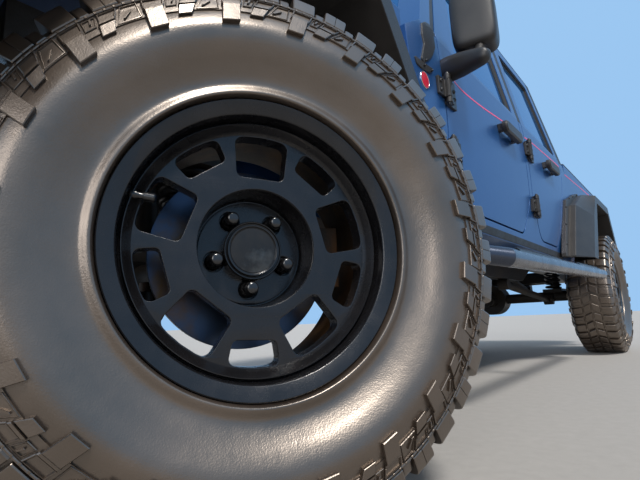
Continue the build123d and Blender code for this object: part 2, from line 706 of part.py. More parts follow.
def suspension():
    """The links that locate both axles, and the shock absorbers."""
    pieces = []
    for start, end, radius in LINKS:
        bar = rod(start, end, radius)
        for x, y, z in (start, end):
            bar += Pos(x, y, z) * Rot(0, 90, 0) * Cylinder(radius + 14, 68)
        pieces += [bar, mirrored(bar)]
    for axle_y, seat_z, way in SPRING_SEATS:
        y = axle_y + way * 100
        middle = (PERCH_Z + seat_z) / 2
        shock = rod((SPRING_X, y, PERCH_Z + SEAT), (SPRING_X, y, middle), SHOCK_RADIUS)
        shock += rod((SPRING_X, y, middle), (SPRING_X, y, seat_z - SEAT), SHOCK_RADIUS - 8)
        pieces += [shock, mirrored(shock)]
    return pieces


def drive_shaft(start, end, radius):
    """A drive shaft between two flange faces that stand square to y."""
    a, b = Vector(*start), Vector(*end)
    tilt = math.asin(abs((b - a).normalized().Z))
    trim = (b - a).normalized() * (radius * math.tan(tilt) + SEAT)
    a, b = a + trim, b - trim
    return rod((a.X, a.Y, a.Z), (b.X, b.Y, b.Z), radius)


def powertrain():
    """The engine as one plain block, with gearbox, transfer case and drive shafts."""
    engine = block(-260, 260, -330, 330, ENGINE_Z, 1150)
    gearbox = across([(330, 690), (330, 725), (1110, 725), (1110, 610), (700, 600), (330, 640)], -130, 130)
    transfer = block(-130, 250, 1105, 1420, 540, 725)
    unit = engine + gearbox + transfer
    front = drive_shaft((FRONT_DIFF_X, 225, AXLE_Z), (FRONT_DIFF_X, 1105, 585), 30)
    rear = drive_shaft((0, 1420, 600), (0, WHEELBASE - 225, AXLE_Z), 38)
    return [unit, front, rear]


def exhaust():
    """The exhaust pipe with its silencer, from the engine to the right rear."""
    pipe = bent_tube([
        (-200, 250, ENGINE_Z - SEAT), (-200, 250, 550), (-235, WHEELBASE - 637, 550),
        (-250, WHEELBASE - 337, 628), (-250, WHEELBASE + 273, 628), (-300, WHEELBASE + 563, 570),
        (-300, BED_REAR_Y - 40, 560),
    ], 32, 90)
    silencer = rod((-228, 2100, 550), (-232, 2540, 550), 48)
    return pipe + silencer


def fuel_tank():
    """The fuel tank, beside the rear drive shaft."""
    tank = block(75, 325, 1620, 2480, 470, TANK_TOP_Z)
    return fillet(tank.edges().filter_by(Axis.Y), 30)


def side_steps():
    """A round step bar under each sill, mitred at its corners, with its brackets."""
    (y0, z0), (y1, z1) = STEP_FRONT, STEP_REAR

    def height(y):
        return z0 + (z1 - z0) * (y - y0) / (y1 - y0)

    run = y0 + STEP_BEND, y1 - STEP_BEND
    path = Polyline(
        (STEP_ROOT_X, y0, z0 + STEP_RISE), (STEP_X, run[0], height(run[0])),
        (STEP_X, run[1], height(run[1])), (STEP_ROOT_X, y1, z1 + STEP_RISE))
    bar = sweep(Plane(origin=path @ 0, z_dir=path % 0) * Circle(STEP_RADIUS), path=path, transition=Transition.RIGHT)
    for y in (run[0] + 100, (y0 + y1) / 2, run[1] - 100):
        bar += rod((STEP_X, y, height(y)), (690, y, 660), 18)
        bar += block(640, 700, y - 30, y + 30, 650, SILL_Z - SEAT)
    return [bar, mirrored(bar)]


def arch_face(table, axle_y, inset):
    """A wheel arch's side outline, closed below, moved in by inset."""
    points = [(y + axle_y, z) for y, z in table]
    points = [(points[0][0], 300)] + points + [(points[-1][0], 300)]
    face = make_face(Polyline(*points, close=True))
    return offset(face, -inset, kind=Kind.INTERSECTION) if inset else face


def arch_prism(table, axle_y, inset, x0, x1):
    """A wheel arch's side outline as a solid from x0 to x1."""
    return extrude(Plane.YZ.offset(x0) * arch_face(table, axle_y, inset), x1 - x0, dir=(1, 0, 0))


def flare(table, axle_y, x_in, x_out, liner_x, body_from):
    """A flat wheel-arch flare with the liner behind it."""
    low = table[0][1]
    band = arch_prism(table, axle_y, 0, x_in, x_out) - arch_prism(table, axle_y, FLARE_BAND, x_in, x_out)
    lip = arch_prism(table, axle_y, 12, x_in + 14, x_out - 14)
    band -= lip - arch_prism(table, axle_y, FLARE_BAND - 12, x_in, x_out)
    liner = arch_prism(table, axle_y, FLARE_BAND - FLARE_LINER, liner_x, x_in + 8)
    liner -= arch_prism(table, axle_y, FLARE_BAND, liner_x, x_in + 8)
    liner &= block(0, 1000, body_from, 9000, 0, 2000)
    piece = (band + liner) & block(0, 1000, -1000, 9000, min(z for y, z in table), 2000)
    return piece


def rear_flare():
    """A rear flare: a thin shell that steps outwards, with its liner, on the cab's and the bed's side."""
    def flared(inset, x0):
        corners = [arch_face(table, WHEELBASE, inset) for table in (REAR_SHOULDER, REAR_LIP)]
        straight = arch_prism(REAR_SHOULDER, WHEELBASE, inset, x0, REAR_SHOULDER_X - inset)
        swept = loft([
            Plane.YZ.offset(REAR_SHOULDER_X - inset - 0.01) * corners[0],
            Plane.YZ.offset(REAR_FLARE_X - inset) * corners[1],
        ], ruled=True)
        return straight + swept

    inner_x = BED_SIDE_X + SEAT
    shell = arch_prism(REAR_FLANGE, WHEELBASE, 0, inner_x, REAR_FLANGE_X) + flared(0, REAR_FLANGE_X - 1)
    shell -= flared(FLARE_WALL, inner_x - 1)
    shell -= arch_prism(REAR_ARCH, WHEELBASE, FLARE_BAND, inner_x - 1, REAR_FLARE_X + 1)
    liner = arch_prism(REAR_ARCH, WHEELBASE, FLARE_BAND - FLARE_LINER, 640, REAR_FLARE_X - 4)
    liner -= arch_prism(REAR_ARCH, WHEELBASE, FLARE_BAND, 640, REAR_FLARE_X)
    behind_cab = block(0, 1000, BED_FRONT_Y + 2, 9000, 0, 2000)
    outside = block(inner_x, 1000, 0, 9000, 0, 2000)
    piece = shell + (liner & (behind_cab + outside))
    piece &= block(0, 1000, -1000, 9000, REAR_LIP[0][1], 2000)
    return piece - cab_section(-SEAT, 0, FIREWALL_Y, CAB_REAR_Y + SEAT)


def wheel_arch_trim():
    """Flares with their liners, over all four wheels."""
    front = flare(FRONT_ARCH, 0, FENDER_X + SEAT, FRONT_FLARE_X, 445, -1000)
    front -= block(0, GRILLE_HALF + 6, -1000, GRILLE_Y + GRILLE_THICKNESS + 12, 0, 2000)
    rear = rear_flare()
    return [front, mirrored(front), rear, mirrored(rear)]


def bed():
    """The load bed: double-skinned sides, front wall, floor and wheel houses."""
    side = [
        (BED_SIDE_X - 18, BED_SKIRT_Z), (BED_SIDE_X, 1000), (BED_SIDE_X - 4, BED_RAIL_Z),
        (-BED_SIDE_X + 4, BED_RAIL_Z), (-BED_SIDE_X, 1000), (-BED_SIDE_X + 18, BED_SKIRT_Z),
    ]
    inner = BED_SIDE_X - BED_WALL
    gate_y, gate_z = TAILGATE_AXIS
    floor_end = gate_y - 41
    body = along(side, BED_FRONT_Y, BED_REAR_Y)
    body -= block(-inner, inner, BED_FRONT_Y + 45, BED_REAR_Y + 10, BED_FLOOR_Z, 2000)
    body -= block(-inner, inner, BED_FRONT_Y - 10, BED_REAR_Y + 10, 0, BED_FLOOR_Z - BED_FLOOR_THICKNESS)
    body -= block(-inner, inner, floor_end, BED_REAR_Y + 10, 0, 2000)
    house = arch_prism(REAR_ARCH, WHEELBASE, FLARE_BAND - FLARE_LINER - 18, 620, inner + 1)
    body += both(house & block(0, 1000, BED_FRONT_Y, floor_end, BED_FLOOR_Z - BED_FLOOR_THICKNESS, 2000))
    body -= both(arch_prism(REAR_ARCH, WHEELBASE, FLARE_BAND - FLARE_LINER - SEAT, 638, 900))
    body -= rod((-inner - 24, gate_y, gate_z), (inner + 24, gate_y, gate_z), TAILGATE_PIN_RADIUS + RUNNING)
    return body


def tailgate():
    """The tailgate, which turns down on pins near its lower edge."""
    inner = BED_SIDE_X - BED_WALL - TAILGATE_CLEARANCE
    gate_y, gate_z = TAILGATE_AXIS
    gate = block(-inner, inner, BED_REAR_Y - TAILGATE_THICKNESS, BED_REAR_Y, gate_z - 22, BED_RAIL_Z - 3)
    gate += rod((-inner - 28, gate_y, gate_z), (inner + 28, gate_y, gate_z), TAILGATE_PIN_RADIUS)
    return gate


def hood_section(y, half, top, low, crown):
    """The hood's outline (x, z) at one station."""
    shoulder = 60
    face = make_face([
        Line((-half, low), (-half, top - shoulder)),
        ThreePointArc((-half, top - shoulder), (-half + 18, top - 18), (-half + shoulder, top)),
        ThreePointArc((-half + shoulder, top), (0, top + crown), (half - shoulder, top)),
        ThreePointArc((half - shoulder, top), (half - 18, top - 18), (half, top - shoulder)),
        Line((half, top - shoulder), (half, low)),
        Line((half, low), (-half, low)),
    ])
    return Plane.XZ.offset(-y) * face


def hood():
    """The hood, a shell with a front lip, and the arms that carry it on its rear pins."""
    low = FENDER_TOP_Z + HOOD_REST_GAP
    outer = loft([
        hood_section(HOOD_FRONT_Y, HOOD_FRONT_HALF, HOOD_FRONT_Z, low, HOOD_CROWN),
        hood_section(HOOD_REAR_Y, HOOD_REAR_HALF, HOOD_REAR_Z, low, HOOD_CROWN),
    ])
    inner = loft([
        hood_section(HOOD_FRONT_Y + HOOD_SKIN, HOOD_FRONT_HALF - HOOD_SKIN, HOOD_FRONT_Z - HOOD_SKIN,
                     low - 60, HOOD_CROWN),
        hood_section(HOOD_REAR_Y + 1, HOOD_REAR_HALF - HOOD_SKIN, HOOD_REAR_Z - HOOD_SKIN, low - 60, HOOD_CROWN),
    ])
    panel = outer - inner
    axis_y, axis_z = HOOD_AXIS
    for x in (-HOOD_ARM_X, HOOD_ARM_X):
        arm = block(x - 9, x + 9, HOOD_REAR_Y - 40, axis_y, axis_z - 8, axis_z + 9)
        arm += Pos(x, axis_y, axis_z) * Rot(0, 90, 0) * Cylinder(12, 18)
        arm -= Pos(x, axis_y, axis_z) * Rot(0, 90, 0) * Cylinder(HOOD_PIN_RADIUS + RUNNING, 40)
        panel += arm
    return panel


def fenders():
    """The fender tops beside the hood, with the panels before and behind the front wheels."""
    y0, y1 = GRILLE_Y + GRILLE_THICKNESS, FIREWALL_Y - SEAT
    low = FRONT_ARCH[2][1] + SEAT
    top = upright([(520, y0), (FENDER_X, y0 + 30), (FENDER_X, y1), (560, y1)], low, FENDER_TOP_Z)
    behind = across([(300 + 3, low + 1), (y1, low + 1), (y1, 740), (FRONT_ARCH[-1][0] + 3, 748)], 735, FENDER_X)
    ahead = across([(-300 - 3, low + 1), (y0 + 30, low + 1), (y0 + 30, 960)], 735, FENDER_X)
    face = block(GRILLE_HALF + SEAT, FENDER_X, y0, y0 + 31, 960, low + 1)
    pad = block(628, 650, -15, 15, FENDER_TOP_Z - 1, FENDER_TOP_Z + HOOD_REST_GAP - SEAT)
    fender = top + behind + ahead + face + pad
    fender -= arch_prism(FRONT_ARCH, 0, -SEAT, 0, 1000)
    return [fender, mirrored(fender)]


def grille():
    """The grille panel with its bars and round lamp openings."""
    y0, y1 = GRILLE_Y, GRILLE_Y + GRILLE_THICKNESS - SEAT
    face = make_face(Polyline(
        (-GRILLE_HALF + 70, GRILLE_LOW_Z), (GRILLE_HALF - 70, GRILLE_LOW_Z), (GRILLE_HALF, 1000),
        (GRILLE_HALF, HOOD_FRONT_Z - 70), (GRILLE_HALF - 30, HOOD_FRONT_Z - 30), (-GRILLE_HALF + 30, HOOD_FRONT_Z - 30),
        (-GRILLE_HALF, HOOD_FRONT_Z - 70), (-GRILLE_HALF, 1000), close=True))
    panel = extrude(Plane.XZ.offset(-y0) * face, y1 - y0, dir=(0, 1, 0))
    panel -= block(-310, 310, y0 - 1, y1 + 1, 960, 1270)
    for x in (-LAMP_X, LAMP_X):
        panel -= Pos(x, (y0 + y1) / 2, LAMP_Z) * Rot(90, 0, 0) * Cylinder(LAMP_RADIUS + SEAT, 100)
    bars = 7
    for k in range(bars):
        z = 960 + (k + 0.5) * 310 / bars
        panel += block(-311, 311, y0 + 10, y1 - 6, z - 9, z + 9)
    return panel


def lamps():
    """Head lamps in the grille and tail lamps on the bed's corners."""
    head = Pos(LAMP_X, GRILLE_Y + 18, LAMP_Z) * Rot(90, 0, 0) * Cylinder(LAMP_RADIUS, 44)
    dome = Pos(LAMP_X, GRILLE_Y - 3, LAMP_Z) * scale(Sphere(LAMP_RADIUS - 6), (1, 0.2, 1))
    head = head + dome
    tail = block(BED_SIDE_X - BED_WALL + 2, BED_SIDE_X - 6, BED_REAR_Y + SEAT, BED_REAR_Y + 24, 1120, 1360)
    return [head, mirrored(head), tail, mirrored(tail)]


def front_bumper():
    """A steel stub bumper with two tow eyes."""
    outline_points = [
        (-560, BUMPER_Y + 50), (-430, BUMPER_Y), (430, BUMPER_Y), (560, BUMPER_Y + 50),
        (560, RAIL_FRONT_Y - SEAT), (-560, RAIL_FRONT_Y - SEAT),
    ]
    bumper = upright(outline_points, BUMPER_LOW_Z, BUMPER_TOP_Z)
    eye_y = FRONT_END + 26
    for x in (-TOW_EYE_X, TOW_EYE_X):
        plate = block(x - 13, x + 13, eye_y, BUMPER_Y + 1, TOW_EYE_Z - 26, TOW_EYE_Z + 26)
        plate += Pos(x, eye_y, TOW_EYE_Z) * Rot(0, 90, 0) * Cylinder(26, 26)
        plate -= Pos(x, eye_y, TOW_EYE_Z) * Rot(0, 90, 0) * Cylinder(TOW_EYE_RADIUS, 40)
        bumper += plate
    return bumper


def rear_bumper():
    """The rear bumper with its hitch receiver."""
    front, rear = REAR_BUMPER_Y + SEAT, REAR_BUMPER_Y + REAR_BUMPER_DEPTH
    wide, narrow = REAR_BUMPER_HALF, REAR_BUMPER_HALF - 80
    low, high = REAR_BUMPER_Z - REAR_BUMPER_HEIGHT / 2, REAR_BUMPER_Z + REAR_BUMPER_HEIGHT / 2
    bumper = upright([
        (-wide, front), (wide, front), (wide, rear - 25), (narrow, rear), (-narrow, rear), (-wide, rear - 25),
    ], low, high)
    half, hole = RECEIVER_OUTER / 2, RECEIVER_INNER / 2
    bumper += block(-half, half, RECEIVER_FRONT_Y, REAR_END, RECEIVER_Z - half, RECEIVER_Z + half)
    bumper -= block(-hole, hole, RECEIVER_FRONT_Y + 4, REAR_END + 1, RECEIVER_Z - hole, RECEIVER_Z + hole)
    bumper -= rod((-100, RECEIVER_PIN_Y, RECEIVER_Z), (100, RECEIVER_PIN_Y, RECEIVER_Z), RECEIVER_PIN_RADIUS)
    return bumper


def seats():
    """Two front seats and a rear bench."""
    front_outline = [
        (1450, 900), (1430, 1010), (1480, 1070), (1920, 1040), (2080, 1640), (2060, 1660), (2080, 1810),
        (2170, 1810), (2180, 1650), (2040, 960), (1980, 900),
    ]
    seat = across(front_outline, 140, 620) + block(220, 540, 1500, 1930, FLOOR_Z + SEAT, 901)
    bench_outline = [
        (2290, 900), (2270, 1010), (2300, 1060), (2660, 1040), (2740, 1600), (2820, 1600), (2790, 960), (2740, 900),
    ]
    bench = across(bench_outline, -620, 620) + block(-560, 560, 2340, 2700, FLOOR_Z + SEAT, 901)
    return [seat, mirrored(seat), bench]


def dashboard():
    """The dashboard with its console, column and steering wheel."""
    dash = across([(665, 1080), (665, 1322), (820, 1392), (950, 1385), (985, 1300), (930, 1090)], -655, 655)
    dash += block(-110, 110, 700, 1900, FLOOR_Z + SEAT, 1000)
    dash += block(-110, 110, 700, 940, 999, 1100)
    centre, lean = Vector(370, 1130, 1260), 24
    wheel = Torus(185, 15) + Cylinder(55, 30)
    for turn in (0, 120, 240):
        wheel += Rot(0, 0, turn + 30) * block(40, 186, -14, 14, -6, 6)
    dash += Pos(centre.X, centre.Y, centre.Z) * Rot(-90 + lean, 0, 0) * wheel
    dash += rod((370, 940, 1345), (370, 1130, 1260), 24)
    return dash


def write(name, shape):
    """Write one node, moved so that y is 0 at the middle of the length and z is 0 on the ground."""
    pieces = shape if isinstance(shape, list) else [shape]
    solids = [solid for piece in pieces for solid in piece.solids()]
    moved = [Pos(0, FRONT_OVERHANG - OVERALL_LENGTH / 2, -GROUND_Z) * solid for solid in solids]
    export_step(moved[0] if len(moved) == 1 else Compound(children=moved), f"parts/{name}.step")


def main():
    os.makedirs("parts", exist_ok=True)
    tub, windshield_frame, top, glass = cab_parts()
    write("cab_tub", tub)
    write("windshield_frame", windshield_frame)
    write("hard_top", top)
    write("cab_glass", glass)
    for place in ("front", "rear"):
        for side in ("left", "right"):
            shell, pane, hardware = door_parts(place, side)
            write(f"door_{place}_{side}", shell)
            write(f"door_glass_{place}_{side}", pane)
            write(f"door_hardware_{place}_{side}", hardware)
            steered = place == "front"
            axle_y = 0 if place == "front" else WHEELBASE
            write(f"tyre_{place}_{side}", placed(tyre(), side, axle_y, steered))
            write(f"wheel_{place}_{side}", placed(rim(), side, axle_y, steered))
            write(f"hub_{place}_{side}", placed(hub(), side, axle_y, steered))
    for side in ("left", "right"):
        write(f"knuckle_{side}", knuckle(side))
    write("tie_rod", tie_rod())
    write("body_hinges", body_hinges())
    write("frame_rails", frame_rails())
    write("front_axle", front_axle())
    write("rear_axle", rear_axle())
    write("springs", springs())
    write("suspension", suspension())
    write("powertrain", powertrain())
    write("exhaust", exhaust())
    write("fuel_tank", fuel_tank())
    write("side_steps", side_steps())
    write("bed", bed())
    write("tailgate", tailgate())
    write("hood", hood())
    write("front_fenders", fenders())
    write("wheel_arch_trim", wheel_arch_trim())
    write("grille", grille())
    write("lamps", lamps())
    write("front_bumper", front_bumper())
    write("rear_bumper", rear_bumper())
    write("seats", seats())
    write("dashboard", dashboard())


main()
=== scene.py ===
import json
import math

import bmesh
import bpy
from mathutils import Matrix, Vector
from mathutils.bvhtree import BVHTree


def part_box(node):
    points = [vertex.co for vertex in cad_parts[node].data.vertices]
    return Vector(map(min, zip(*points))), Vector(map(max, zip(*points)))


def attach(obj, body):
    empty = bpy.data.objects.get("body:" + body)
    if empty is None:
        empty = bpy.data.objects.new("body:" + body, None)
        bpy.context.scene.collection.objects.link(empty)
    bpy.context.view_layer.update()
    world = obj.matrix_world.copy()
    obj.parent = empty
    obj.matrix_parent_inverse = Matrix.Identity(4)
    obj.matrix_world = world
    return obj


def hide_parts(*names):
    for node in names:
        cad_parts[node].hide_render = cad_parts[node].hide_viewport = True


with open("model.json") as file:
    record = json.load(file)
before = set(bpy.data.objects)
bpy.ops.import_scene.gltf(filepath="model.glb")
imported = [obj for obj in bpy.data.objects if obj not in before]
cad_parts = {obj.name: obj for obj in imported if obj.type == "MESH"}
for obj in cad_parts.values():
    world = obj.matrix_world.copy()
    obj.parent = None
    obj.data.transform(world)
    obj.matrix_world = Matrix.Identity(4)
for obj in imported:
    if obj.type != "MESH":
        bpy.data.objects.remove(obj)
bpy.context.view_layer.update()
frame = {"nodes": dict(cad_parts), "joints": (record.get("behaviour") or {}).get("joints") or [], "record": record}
scene = bpy.context.scene

# The row's frame is in metres: x to the vehicle's left, y to its rear, z up from the ground.
JOINTS = {joint["name"]: joint for joint in frame["joints"]}
NODES = frame["nodes"]
PLACES = [("front", "left"), ("front", "right"), ("rear", "left"), ("rear", "right")]
SIDES = [(1, "left"), (-1, "right")]

FRONT_AXLE_Y, AXLE_Z = JOINTS["steer_left"]["pos_m"][1:]
REAR_AXLE_Y = JOINTS["wheel_rear_left_spin"]["pos_m"][1]

# Camera, about the point on the ground below the front axle's middle
CAMERA_X = 1.3934
CAMERA_Y = -0.5795
CAMERA_Z = 0.319
CAMERA_TURN = 39.77
CAMERA_RISE = 10.44
CAMERA_ROLL = -2.49
SENSOR = 36
FRAME_WIDTH = 640
FOCAL_PIXELS = 443.3
CLIP = (0.02, 200)


def make_camera():
    """A camera turned left from +Y, raised from the horizon and rolled about its own axis."""
    data = bpy.data.cameras.new("camera")
    data.sensor_width = SENSOR
    data.lens = FOCAL_PIXELS / FRAME_WIDTH * SENSOR
    data.clip_start, data.clip_end = CLIP
    camera = bpy.data.objects.new("camera", data)
    scene.collection.objects.link(camera)
    place = Matrix.Translation((CAMERA_X, FRONT_AXLE_Y + CAMERA_Y, CAMERA_Z))
    for degrees, axis in ((CAMERA_TURN, "Z"), (90 + CAMERA_RISE, "X"), (CAMERA_ROLL, "Z")):
        place = place @ Matrix.Rotation(math.radians(degrees), 4, axis)
    camera.matrix_world = place
    scene.camera = camera


class Nodes:
    """A node tree whose nodes are made together with their inputs."""

    def __init__(self, tree):
        self.tree = tree

    def fill(self, node, inputs):
        """Each input takes a value, or a link where it is given another node's output."""
        for key, value in inputs.items():
            if isinstance(value, bpy.types.NodeSocket):
                self.tree.links.new(value, node.inputs[key])
            else:
                node.inputs[key].default_value = value

    def node(self, kind, inputs, **values):
        """The outputs of a new node."""
        node = self.tree.nodes.new("ShaderNode" + kind)
        for key, value in values.items():
            setattr(node, key, value)
        self.fill(node, inputs)
        return node.outputs


MATERIALS = {}
DUST = (0.17, 0.13, 0.095, 1)
DUST_SCALE = 3.0
COAT_ROUGHNESS = 0.05


class Material(Nodes):
    """A Principled material with a few procedural layers, kept by its name."""

    def __init__(self, name, colour, roughness, metallic=0.0, coat=0.0, sheen=0.0):
        MATERIALS[name] = self
        self.data = bpy.data.materials.new(name)
        self.data.use_nodes = True
        super().__init__(self.data.node_tree)
        self.shader = self.tree.nodes["Principled BSDF"]
        self.colour = (*colour, 1)
        self.relief = {}
        self.set({
            "Base Color": self.colour, "Roughness": roughness, "Metallic": metallic, "Coat Weight": coat,
            "Coat Roughness": COAT_ROUGHNESS, "Sheen Weight": sheen,
        })

    def set(self, inputs):
        """Values and links of the shader's own inputs."""
        self.fill(self.shader, inputs)
        return self

    def place(self):
        return self.node("TexCoord", {})["Object"]

    def noise(self, scale, detail=4.0, roughness=0.6):
        """Cloudy noise with blobs about 1 / scale metres wide."""
        inputs = {"Scale": scale, "Detail": detail, "Roughness": roughness, "Vector": self.place()}
        return self.node("TexNoise", inputs)["Fac"]

    def mottle(self, other, scale, start=0.35, end=0.7, detail=5.0):
        """Base colour that wanders to another colour."""
        ramp = self.tree.nodes.new("ShaderNodeValToRGB")
        for element, place, colour in zip(ramp.color_ramp.elements, (start, end), (self.colour, (*other, 1))):
            element.position, element.color = place, colour
        self.fill(ramp, {"Fac": self.noise(scale, detail)})
        return self.set({"Base Color": ramp.outputs["Color"]})

    def dust(self, amount):
        """Dust that lies on what faces up."""
        normal = self.node("NewGeometry", {})["Normal"]
        height = self.node("SeparateXYZ", {"Vector": normal})["Z"]
        inputs = {"From Min": 0.1, "From Max": 1.0, "To Max": amount, "Value": height}
        layers = {0: self.node("MapRange", inputs)["Result"], 1: self.noise(DUST_SCALE, roughness=0.55)}
        spread = self.node("Math", layers, operation="MULTIPLY")["Value"]
        linked = self.shader.inputs["Base Color"].links
        under = linked[0].from_socket if linked else self.colour
        mix = self.node("Mix", {"Factor": spread, "A": under, "B": DUST}, data_type="RGBA")
        return self.set({"Base Color": mix["Result"]})

    def rough(self, low, high, scale):
        """Roughness that wanders between two values."""
        inputs = {"From Min": 0.3, "From Max": 0.7, "To Min": low, "To Max": high, "Value": self.noise(scale)}
        return self.set({"Roughness": self.node("MapRange", inputs)["Result"]})

    def lay(self, kind, inputs, **values):
        """A node whose normal goes to the shader, and to the next relief that is laid over it."""
        self.relief = {"Normal": self.node(kind, inputs, **values)["Normal"]}
        return self.set(self.relief)

    def bump(self, scale, depth, detail=3.0):
        """Relief of a given depth in metres, laid over any relief before it."""
        inputs = {"Strength": 1.0, "Distance": depth, "Height": self.noise(scale, detail)}
        return self.lay("Bump", {**inputs, **self.relief})

    def weave(self, scale, depth):
        """Crossing threads."""
        bands = []
        for way in ("X", "Z"):
            inputs = {"Scale": scale / 2, "Vector": self.place()}
            bands.append(self.node("TexWave", inputs, wave_type="BANDS", bands_direction=way)["Fac"])
        cross = self.node("Math", dict(enumerate(bands)), operation="MAXIMUM")["Value"]
        return self.lay("Bump", {"Distance": depth, "Height": cross})

    def soft_edges(self, radius=0.003):
        """Edges that shade as if rounded, for solids with sharp edges."""
        return self.lay("Bevel", {"Radius": radius}, samples=4)


def make_materials():
    """Every finish, by the record's slot or by the name of the detail that it is for."""
    # Painted reflection, partly real: the paint's own navy is made brighter and bluer to stand in for blue sky
    # reflected in it.
    paint = Material("body_paint", (0.01, 0.064, 0.21), 0.34, 0.35, 0.12).soft_edges(0.004)
    paint.mottle((0.018, 0.09, 0.275), 900, 0.4, 0.6, 1.0).bump(1.6, 0.002)
    # Painted reflection: an opaque, strongly blue glass whose base colour and blue specular tint stand in for blue
    # sky reflected in it.
    glass = Material("window_glass", (0.014, 0.095, 0.27), 0.03, 0.4)
    glass.set({"Specular Tint": (0.42, 0.7, 1.0, 1), "IOR": 1.3}).rough(0.02, 0.05, 6)
    plastic = Material("black_plastic", (0.017, 0.0155, 0.015), 0.42).soft_edges(0.005)
    plastic.mottle((0.026, 0.024, 0.023), 12).bump(900, 0.0003).dust(0.12)
    Material("top_black", (0.013, 0.013, 0.014), 0.5).soft_edges(0.004).bump(1100, 0.0005).dust(0.1)
    Material("grille_black", (0.02, 0.02, 0.022), 0.35).soft_edges().rough(0.3, 0.42, 20)
    lens = Material("lamp_lens", (0.75, 0.78, 0.8), 0.06, coat=1.0)
    lens.set({"Transmission Weight": 0.75}).bump(60, 0.0006)
    bumper = Material("bumper_steel", (0.02, 0.02, 0.022), 0.42, 0.2).soft_edges(0.005)
    bumper.bump(700, 0.0003).rough(0.36, 0.5, 9)
    bars = Material("step_steel", (0.05, 0.06, 0.085), 0.26, 0.75, 0.2).soft_edges()
    bars.bump(500, 0.0001).rough(0.2, 0.36, 12)
    chassis = Material("chassis_black", (0.014, 0.0135, 0.013), 0.5, 0.1).soft_edges(0.004)
    chassis.mottle((0.045, 0.032, 0.022), 7).bump(160, 0.0005).dust(0.35)
    Material("spring_steel", (0.03, 0.03, 0.033), 0.35, 0.4).bump(300, 0.0002).rough(0.28, 0.45, 20)
    drive = Material("drive_metal", (0.1, 0.095, 0.09), 0.5, 0.8).soft_edges(0.006)
    drive.mottle((0.06, 0.05, 0.04), 8).bump(120, 0.001)
    Material("exhaust_steel", (0.36, 0.32, 0.28), 0.35, 0.9).mottle((0.2, 0.13, 0.08), 5).bump(200, 0.0003)
    Material("tank_plastic", (0.02, 0.02, 0.02), 0.55).soft_edges(0.006).bump(250, 0.0005)
    fabric = Material("seat_fabric", (0.035, 0.035, 0.039), 0.85, sheen=0.4)
    fabric.mottle((0.055, 0.055, 0.06), 60).weave(420, 0.0004)
    Material("dash_plastic", (0.025, 0.025, 0.027), 0.6).soft_edges(0.005).bump(700, 0.0005)
    iron = Material("knuckle_iron", (0.06, 0.05, 0.042), 0.6, 0.5).soft_edges(0.004)
    iron.mottle((0.16, 0.075, 0.03), 14).bump(180, 0.001)
    Material("rod_steel", (0.03, 0.03, 0.03), 0.4, 0.3).soft_edges().mottle((0.07, 0.05, 0.04), 10)
    # Partly painted reflection: the disc's blue tint stands in for reflected sky, and its brown mottle is rust.
    disc = Material("disc_iron", (0.045, 0.065, 0.105), 0.3, 0.9).soft_edges(0.002)
    disc.mottle((0.1, 0.055, 0.025), 7, 0.5, 0.66).bump(500, 0.0001)
    rubber = Material("tyre_rubber", (0.018, 0.0125, 0.009), 0.4)
    rubber.set({"IOR": 1.75, "Specular IOR Level": 0.95, "Specular Tint": (1.0, 0.87, 0.76, 1)})
    rubber.mottle((0.055, 0.042, 0.034), 5, 0.35, 0.75)
    rubber.bump(420, 0.0002, detail=1.0).bump(28, 0.0005).rough(0.27, 0.4, 9)
    wheel = Material("wheel_black", (0.0075, 0.0078, 0.0095), 0.24, 0.3, 0.2)
    wheel.mottle((0.014, 0.0135, 0.0155), 14).bump(900, 0.00018).rough(0.2, 0.32, 30)
    # Partly painted reflection: the barrel's warm brown mottle stands in for warm light from the ground reflected
    # inside it, and partly for dust.
    barrel = Material("barrel", (0.05, 0.034, 0.022), 0.35, 0.75)
    barrel.mottle((0.2, 0.1, 0.03), 9, 0.4, 0.62).bump(300, 0.0004)
    cap = Material("cap_satin", (0.035, 0.033, 0.032), 0.3, 0.8)
    cap.mottle((0.15, 0.145, 0.135), 12, 0.45, 0.7).bump(1200, 0.0001).rough(0.24, 0.4, 40)
    Material("gloss_black", (0.008, 0.008, 0.009), 0.24, coat=0.3).rough(0.2, 0.3, 40)
    Material("cap_ring", (0.012, 0.012, 0.013), 0.2, 0.5, 0.4).rough(0.15, 0.28, 50)
    Material("pin_stripe", (0.8, 0.04, 0.17), 0.4, coat=0.2).rough(0.3, 0.42, 60)
    Material("badge_face", (0.6, 0.02, 0.055), 0.25, coat=0.8).rough(0.2, 0.3, 60)
    Material("bright_metal", (0.6, 0.6, 0.6), 0.2, 1.0).rough(0.13, 0.28, 80)
    Material("mirror_glass", (0.75, 0.78, 0.8), 0.03, 1.0).rough(0.02, 0.05, 8)
    Material("bolt_steel", (0.05, 0.05, 0.052), 0.32, 0.8).rough(0.25, 0.45, 90).bump(400, 0.0002)
    Material("seal_rubber", (0.009, 0.0085, 0.008), 0.6).bump(500, 0.0003).rough(0.5, 0.65, 20)
    Material("tail_red", (0.35, 0.01, 0.012), 0.08, coat=1.0).bump(90, 0.0006)
    Material("trim_grey", (0.05, 0.05, 0.054), 0.5).soft_edges(0.003).bump(900, 0.0004)


def spline(points, steps):
    """A smooth open line through the points, with a number of steps to each stretch."""
    line = []
    ends = [points[0]] + list(points) + [points[-1]]
    for a, b, c, d in zip(ends, ends[1:], ends[2:], ends[3:]):
        for k in range(steps):
            t = k / steps
            point = []
            for p, q, r, s in zip(a, b, c, d):
                bend, twist = 2 * p - 5 * q + 4 * r - s, 3 * q - p - 3 * r + s
                point.append(0.5 * (2 * q + (r - p) * t + bend * t * t + twist * t ** 3))
            line.append(tuple(point))
    return line + [tuple(points[-1])]


